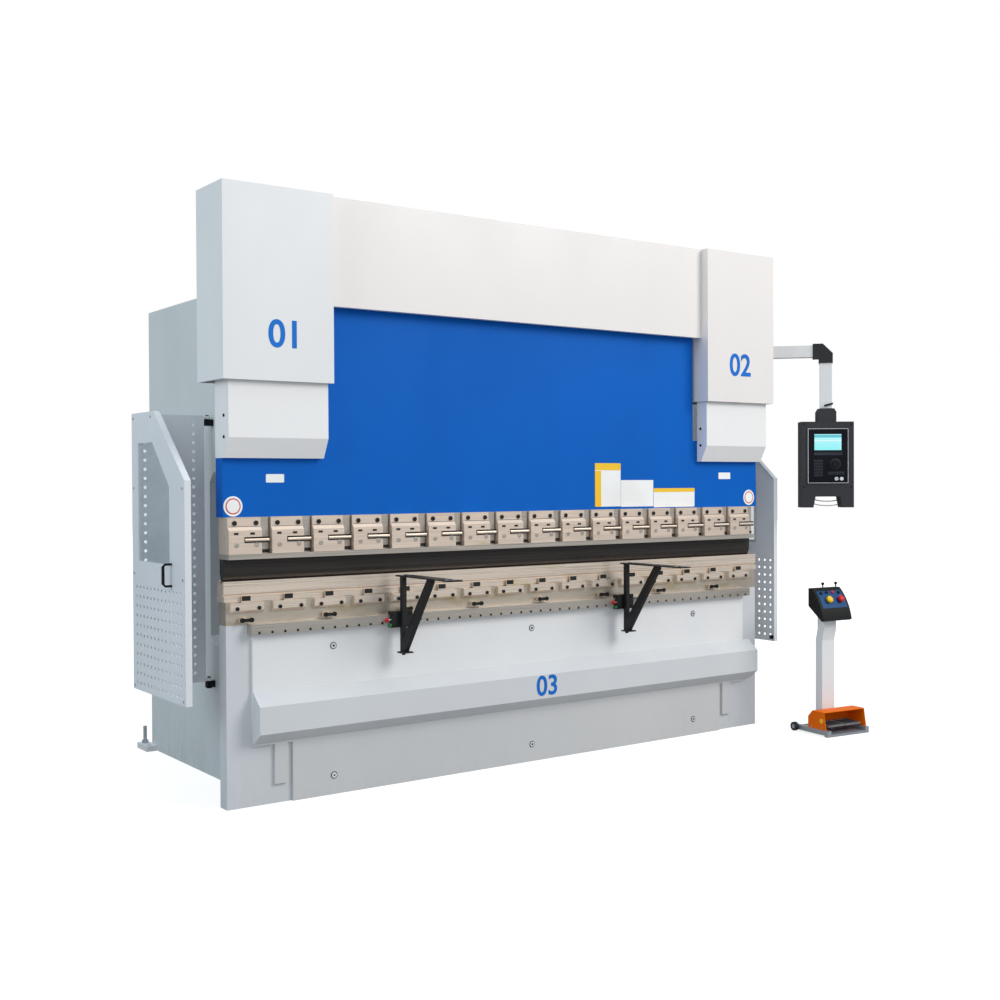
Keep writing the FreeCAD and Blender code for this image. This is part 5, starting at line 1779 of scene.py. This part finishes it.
@dataclass
class FootStand:
    """Console face, mushroom buttons, pedal treads and wheel hubs of the rolling stand.

    Attributes:
        paints: The finishes.
        spot: Place and angle of the stand.
        nose: Lower end of the console's curved face, as (y, z).
        ledge: Upper end of the curved face, as (y, z).
        bulge: How far the curve's middle lies outside the straight line, along Y and Z.
        plate: Where the coloured plate starts on the curve, and how much of it the plate covers.
        plate_steps: Straight pieces that the plate's curve is made of.
        mushroom: Place of the mushroom buttons on the curve.
        ribs: Ribs on a pedal.
        knob_y: Y of the levers' knobs.
    """

    paints: Paints
    spot: Turned = field(default_factory=lambda: Turned(1.772, -0.434, -6.5))
    nose: Pair = (-0.055, 0.618)
    ledge: Pair = (0.039, 0.788)
    bulge: float = 0.012
    plate: Pair = (0.34, 0.54)
    plate_steps: int = 8
    mushroom: float = 0.57
    ribs: int = 8
    knob_y: float = 0.051

    def arc(self, share: float, lift: float = 0.0) -> Pair:
        """Point of the console's curved face.

        Args:
            share: 0 at the nose, 1 at the ledge.
            lift: Distance outside the face.

        Returns:
            The point as (y, z).
        """
        (y0, z0), (y2, z2) = self.nose, self.ledge
        y1, z1 = (y0 + y2) / 2 - self.bulge, (z0 + z2) / 2 + self.bulge
        d = 2 * (y0 * (z1 - z2) + y1 * (z2 - z0) + y2 * (z0 - z1))
        a, b, c = (y * y + z * z for y, z in ((y0, z0), (y1, z1), (y2, z2)))
        cy = (a * (z1 - z2) + b * (z2 - z0) + c * (z0 - z1)) / d
        cz = (a * (y2 - y1) + b * (y0 - y2) + c * (y1 - y0)) / d
        radius = math.hypot(y0 - cy, z0 - cz)
        start = math.atan2(z0 - cz, y0 - cy) % (2 * math.pi)
        end = math.atan2(z2 - cz, y2 - cy) % (2 * math.pi)
        angle = start + (end - start) * share
        return cy + (radius + lift) * math.cos(angle), cz + (radius + lift) * math.sin(angle)

    def tilt(self, share: float) -> Matrix:
        """Turn that makes a front-facing piece look out of the curved face."""
        (y0, z0), (y1, z1) = self.arc(share), self.arc(share, 0.01)
        return Matrix.Rotation(-math.atan2(z1 - z0, y0 - y1), 4, "X")

    def on_face(self, piece: Piece, x: float, share: float, body: str, finish: str) -> None:
        """Puts a front-facing piece onto the curved face.

        Args:
            piece: The piece.
            x: X of its middle.
            share: 0 at the nose, 1 at the ledge.
            body: Name of the body that it rides on.
            finish: Name of the finish.
        """
        y, z = self.arc(share)
        piece.place(Matrix.Translation((x, y, z)) @ self.tilt(share))
        self.spot.set(piece, body, self.paints[finish])

    def face_plate(self) -> None:
        """Coloured plate that follows the curve of the console."""
        start, span = self.plate
        corners = ((-0.088, 0, 0), (0.090, 0, 1))
        plate = Piece.grid("console_plate", *corners, Facing.FRONT, 1, self.plate_steps)
        plate.clear()
        for vertex in plate.obj.data.vertices:
            share = start + span * vertex.co.z
            vertex.co.y, vertex.co.z = self.arc(share, 0.0012)
        plate.modify("SOLIDIFY", thickness=0.0016, offset=-1.0)
        self.spot.set(plate, "root", self.paints["console_blue"])

    def build(self) -> None:
        """Builds the stand's fittings."""
        self.face_plate()
        for name, x, finish in (
            ("yellow_mushroom", -0.032, "signal_yellow"),
            ("red_mushroom", 0.052, "signal_red"),
        ):
            collar = Piece.head(name + "_collar", 0.016, 0.010, 0.0, 24)
            self.on_face(collar, x, self.mushroom, "root", "black_plastic")
            cap = Piece.bar(name, (0, -0.008, 0), (0, -0.020, 0), 0.0185, 28)
            cap.facing(Facing.FRONT).inset(0.006, 0.004).inset(0.006, 0.002)
            self.on_face(cap, x, self.mushroom, "root", finish)
        buttons = (
            (-0.062, 0.80, "black_plastic"),
            (-0.020, 0.82, "black_plastic"),
            (0.022, 0.82, "signal_red"),
            (0.066, 0.80, "black_plastic"),
        )
        for index, (x, share, finish) in enumerate(buttons, 1):
            button = Piece.head(f"console_button_{index}", 0.0085, 0.007, 0.0, 20)
            self.on_face(button, x, share, "root", finish)
        screw = Piece.head("console_screws", 0.004, 0.0025, 0.4, 10)
        turn = Matrix.Rotation(math.pi / 2, 4, "Z")
        screw.place(turn).row([(0.104, 0.05, 0.70), (0.104, 0.05, 0.77), (0.104, -0.02, 0.64)])
        self.spot.set(screw, "root", self.paints["zinc_steel"])
        self.treads()
        self.wheels()
        self.levers()
        self.hood()

    def hood(self) -> None:
        """Disc and rivets on the left of the pedals' hood."""
        ends = ((-0.1478, -0.084, 0.082), (-0.1492, -0.084, 0.082))
        sticker = Piece.bar("hood_disc", *ends, 0.0135, 28)
        sticker.facing(Facing.LEFT).inset(0.003, 0.0003)
        self.spot.set(sticker, "root", self.paints["label_yellow"])
        leftward = Matrix.Rotation(-math.pi / 2, 4, "Z")
        rivet = Piece.head("hood_rivets", 0.0045, 0.002, 0.0, 12).place(leftward)
        rivet.row([(-0.148, y, 0.045) for y in (-0.09, -0.01)])
        self.spot.set(rivet, "root", self.paints["zinc_steel"])

    def treads(self) -> None:
        """Raised rubber ribs on both pedals."""
        for side, x in ((Side.LEFT, -0.060), (Side.RIGHT, 0.060)):
            corners = ((-0.048, -0.0025, 0.0), (0.048, 0.0025, 0.0022))
            rib = Piece.box(side.word + "_pedal_ribs", *corners).soften(0.0008)
            rib.row([(x, -0.020 - 0.011 * i, 0.0568) for i in range(self.ribs)])
            self.spot.set(rib, side.word + "_pedal", self.paints["tyre_rubber"])

    def levers(self) -> None:
        """Ball knobs on the two selector levers."""
        for side, x in ((Side.LEFT, -0.010), (Side.RIGHT, 0.086)):
            knob = Piece.ball(side.word + "_lever_knob", (x, self.knob_y, 0.8078), 0.0078, 8)
            knob.edit("VERT", lambda vertex: vertex.co.z < 0.8020)
            bpy.ops.transform.resize(value=(0.7, 0.7, 1.0), center_override=(x, self.knob_y, 0.8))
            self.spot.set(knob, side.word + "_console_lever", self.paints["black_plastic"])

    def wheels(self) -> None:
        """Hub caps on the two rolling wheels."""
        for side in Side:
            s = side.value
            ends = ((s * 0.1500, 0.113, 0.024), (s * 0.1690, 0.113, 0.024))
            hub = Piece.bar(side.word + "_wheel_hub", *ends, 0.011, 24)
            hub.faces(lambda spot, normal: abs(normal.x) > 0.9).inset(0.003, -0.0008)
            self.spot.set(hub, side.word + "_stand_wheel", self.paints["label_grey"])


@dataclass
class Rear:
    """Fittings behind the bending line: tank cap, level gauge, motor fins, cabinet latch and vents.

    Attributes:
        paints: The finishes.
        fins: Number of the motor's fins.
        fin_pitch: Distance between fins.
        vent_starts: Heights of the lowest vent in each of the cabinet's two groups.
        vent_pitch: Distance between vents.
        vent_count: Vents in a group.
        lid_screws: Screws along one edge of the tank's lid.
        lid_pitch: Distance between them.
    """

    paints: Paints
    fins: int = 20
    fin_pitch: float = 0.0115
    vent_starts: Pair = (0.78, 1.58)
    vent_pitch: float = 0.014
    vent_count: int = 9
    lid_screws: int = 11
    lid_pitch: float = 0.26

    def build(self) -> None:
        """Builds the fittings."""
        fin = Piece.bar("motor_fins", (0, 0.885, 2.235), (0, 0.885, 2.2385), 0.1262, 32)
        fin.faces(lambda spot, normal: abs(normal.z) > 0.9).inset(0.002, -0.0008)
        fin.row([(0, 0, self.fin_pitch * i) for i in range(self.fins)])
        fin.done("root", self.paints["machine_grey"])
        neck = Piece.bar("filler_cap", (-0.55, 0.885, 2.188), (-0.55, 0.885, 2.225), 0.045, 32)
        neck.facing(Facing.UP).inset(0.006, 0.006).inset(0.012, 0.010)
        neck.done("root", self.paints["black_plastic"])
        glass = Piece.box("level_gauge", (0.86, 1.0675, 1.80), (0.90, 1.080, 1.95))
        glass.soften(0.006)
        glass.facing(Facing.REAR).inset(0.008, -0.003)
        glass.done("root", self.paints["dark_glass"])
        drain = Piece.bar("drain_plug", (-0.9, 1.066, 1.76), (-0.9, 1.084, 1.76), 0.016, 6)
        drain.soften(0.002).done("root", self.paints["zinc_steel"])
        handle = Piece.box("cabinet_latch", (1.7590, 1.030, 1.16), (1.7640, 1.055, 1.28))
        handle.facing(Facing.RIGHT).inset(0.004, 0.001)
        handle.done("root", self.paints["black_plastic"])
        vent = Piece.box("cabinet_vents", (-0.0005, -0.09, -0.003), (0.0012, 0.09, 0.003))
        vent.facing(Facing.RIGHT).inset(0.001, -0.0004)
        steps = [self.vent_pitch * i for i in range(self.vent_count)]
        vent.row([(1.7600, 1.18, start + step) for start in self.vent_starts for step in steps])
        vent.done("root", self.paints["dark_socket"])
        upward = Matrix.Rotation(-math.pi / 2, 4, "X")
        lid = Piece.head("tank_lid_screws", 0.008, 0.004, 0.4).place(upward)
        places = [-1.3 + self.lid_pitch * i for i in range(self.lid_screws)]
        lid.row([(x, y, 2.19) for x in places for y in (0.715, 1.055)])
        lid.done("root", self.paints["zinc_steel"])
        rearward = Matrix.Rotation(math.pi, 4, "Z")
        beam = Piece.head("cross_beam_screws", 0.012, 0.008, 0.45).place(rearward)
        beam.row([(x, 1.300, z) for x in (-1.32, 1.32) for z in (0.14, 0.33, 0.52)])
        beam.done("root", self.paints["zinc_steel"])


@dataclass
class HingeKnobs:
    """Black caps on the lower ends of the guards' hinge pins.

    Attributes:
        paints: The finishes.
        pin: Distance of a pin from the middle, and its Y.
        ends: Lower and upper end of a cap.
        radius: Radius of a cap.
    """

    paints: Paints
    pin: Pair = (1.426, 0.565)
    ends: Pair = (0.424, 0.4285)
    radius: float = 0.0135

    def build(self) -> None:
        """Builds the caps."""
        (out, y), (low, top) = self.pin, self.ends
        for side in Side:
            x = side.value * out
            cap = Piece.bar(side.word + "_hinge_caps", (x, y, low), (x, y, top), self.radius, 24)
            cap.soften(0.0015).done("root", self.paints["black_plastic"])


@dataclass(frozen=True)
class Lamp:
    """Soft square lamp aimed at a point.

    Attributes:
        name: Name of the lamp.
        spot: Where it hangs.
        target: Point that it is aimed at.
        size: Length of its edges.
        power: Power in watts.
        tint: Colour of its light.
    """

    name: str
    spot: Point
    target: Point
    size: float
    power: float
    tint: Colour = (1.0, 1.0, 1.0)

    def build(self) -> None:
        """Adds the lamp."""
        bpy.ops.object.light_add(type="AREA", location=self.spot)
        light = bpy.context.object
        light.name = self.name
        light.data.size = self.size
        light.data.energy = self.power
        light.data.color = self.tint
        aim = Vector(self.target) - Vector(self.spot)
        light.rotation_euler = aim.to_track_quat("-Z", "Y").to_euler()


@dataclass(frozen=True)
class Studio:
    """Pale floor, white surroundings and soft lamps.

    Attributes:
        ambient: Strength of the light from all round.
        sky: Colour of that light.
        half: Half the floor's width.
        pale: Range of the floor's grey.
        lift: How bright the floor looks to the camera, near the machine and far from it.
        reach: Distances between which it gets brighter.
        lamps: The lamps.
    """

    ambient: float = 0.53
    sky: Colour = (0.86, 0.95, 1.04)
    half: float = 30.0
    pale: Pair = (0.36, 0.39)
    lift: Pair = (0.78, 1.0)
    reach: Pair = (2.5, 7.0)
    lamps: tuple[Lamp, ...] = (
        Lamp("key_lamp", (5.2, -7.6, 7.0), (0.6, 0, 2.3), 5.0, 650, (1.0, 0.97, 0.93)),
        Lamp("left_lamp", (-8.0, -0.8, 4.5), (-0.5, 0.2, 1.4), 4.0, 138, (0.84, 1.0, 1.08)),
        Lamp("fill_lamp", (-4.5, -7.5, 3.0), (-1.2, 0.3, 1.4), 4.0, 70),
        Lamp("top_lamp", (0, 0.5, 7.5), (0, 0.3, 0), 6.0, 120),
    )

    def world(self) -> None:
        """White to the camera, softer as a light."""
        world = bpy.data.worlds.new("surroundings")
        bpy.context.scene.world = world
        world.use_nodes = True
        tree = Tree(world.node_tree)
        path = tree.add("LightPath")
        seen = tree.math("MAXIMUM", path.outputs["Is Camera Ray"], path.outputs["Is Transmission Ray"])
        back = world.node_tree.nodes["Background"]
        tint = tree.blend(seen, self.sky, (1.0, 1.0, 1.0))
        tree.wire(tint, back, "Color")
        strength = tree.math("ADD", tree.math("MULTIPLY", seen, 1.0 - self.ambient), self.ambient)
        tree.wire(strength, back, "Strength")

    def floor(self) -> None:
        """Large pale floor, which looks white to the camera."""
        half = self.half
        floor = Piece.box("studio_floor", (-half, -half, -0.02), (half, half, 0))
        floor.facing(Facing.UP)
        bpy.ops.mesh.subdivide(number_cuts=3)
        tree, shader, material = blank("studio_floor_finish")
        tone = tree.cloud(tree.place(), 0.4, 2.0)
        greys = [(value, value, value) for value in self.pale]
        tree.wire(tree.blend(tree.ramp(tone, 0.3, 0.7), *greys), shader, "Base Color")
        shader.inputs["Roughness"].default_value = 0.9
        shader.inputs["Specular IOR Level"].default_value = 0.1
        distance = tree.add("VectorMath", {0: tree.place()}, operation="LENGTH").outputs["Value"]
        lift = tree.ramp(distance, *self.reach, *self.lift)
        seen = tree.add("LightPath").outputs["Is Camera Ray"]
        tree.wire(tree.math("MULTIPLY", lift, seen), shader, "Emission Strength")
        shader.inputs["Emission Color"].default_value = (1.0, 1.0, 1.0, 1.0)
        floor.clear()
        floor.obj.data.materials.append(material)

    def build(self) -> None:
        """Sets up the whole studio."""
        self.world()
        self.floor()
        for lamp in self.lamps:
            lamp.build()
        scene = bpy.context.scene
        scene.view_settings.view_transform = "Standard"
        scene.view_settings.look = "None"


@dataclass(frozen=True)
class Eye:
    """Camera that stands where the photo was taken from.

    Attributes:
        spot: Where it stands.
        yaw: Angle in degrees from the machine's Y axis, to the right.
        pitch: Angle upwards in degrees.
        roll: Angle round the line of sight in degrees.
        lens: Focal length in millimetres.
        sensor: Width of the sensor in millimetres.
    """

    spot: Point = (-3.757, -5.025, 1.381)
    yaw: float = 35.65
    pitch: float = -0.82
    roll: float = -0.27
    lens: float = 45.54
    sensor: float = 36.0

    def build(self) -> None:
        """Adds the camera."""
        bpy.ops.object.camera_add()
        camera = bpy.context.object
        camera.name = "camera"
        yaw, pitch, roll = (math.radians(angle) for angle in (self.yaw, self.pitch, self.roll))
        level_share = math.cos(pitch)
        ahead = Vector((math.sin(yaw) * level_share, math.cos(yaw) * level_share, math.sin(pitch)))
        level = Vector((math.cos(yaw), -math.sin(yaw), 0))
        above = level.cross(ahead)
        right = math.cos(roll) * level + math.sin(roll) * above
        upward = -math.sin(roll) * level + math.cos(roll) * above
        turn = Matrix((right, upward, -ahead)).transposed().to_4x4()
        camera.matrix_world = Matrix.Translation(self.spot) @ turn
        camera.data.lens = self.lens
        camera.data.sensor_width = self.sensor
        bpy.context.scene.camera = camera


def main() -> None:
    """Builds everything in order."""
    logging.basicConfig(level=logging.INFO, format="%(name)s: %(message)s")
    paints = Paints()
    dress_nodes(paints)
    for side in Side:
        GuardSheets(side, paints).build()
    Tooling(paints).build()
    RamMarks(paints).build()
    SupportArm(Side.LEFT, -0.775, paints).build()
    SupportArm(Side.RIGHT, 0.568, paints).build()
    Pendant(paints).build()
    FootStand(paints).build()
    Rear(paints).build()
    HingeKnobs(paints).build()
    Studio().build()
    Eye().build()


if __name__ == "__main__":
    main()
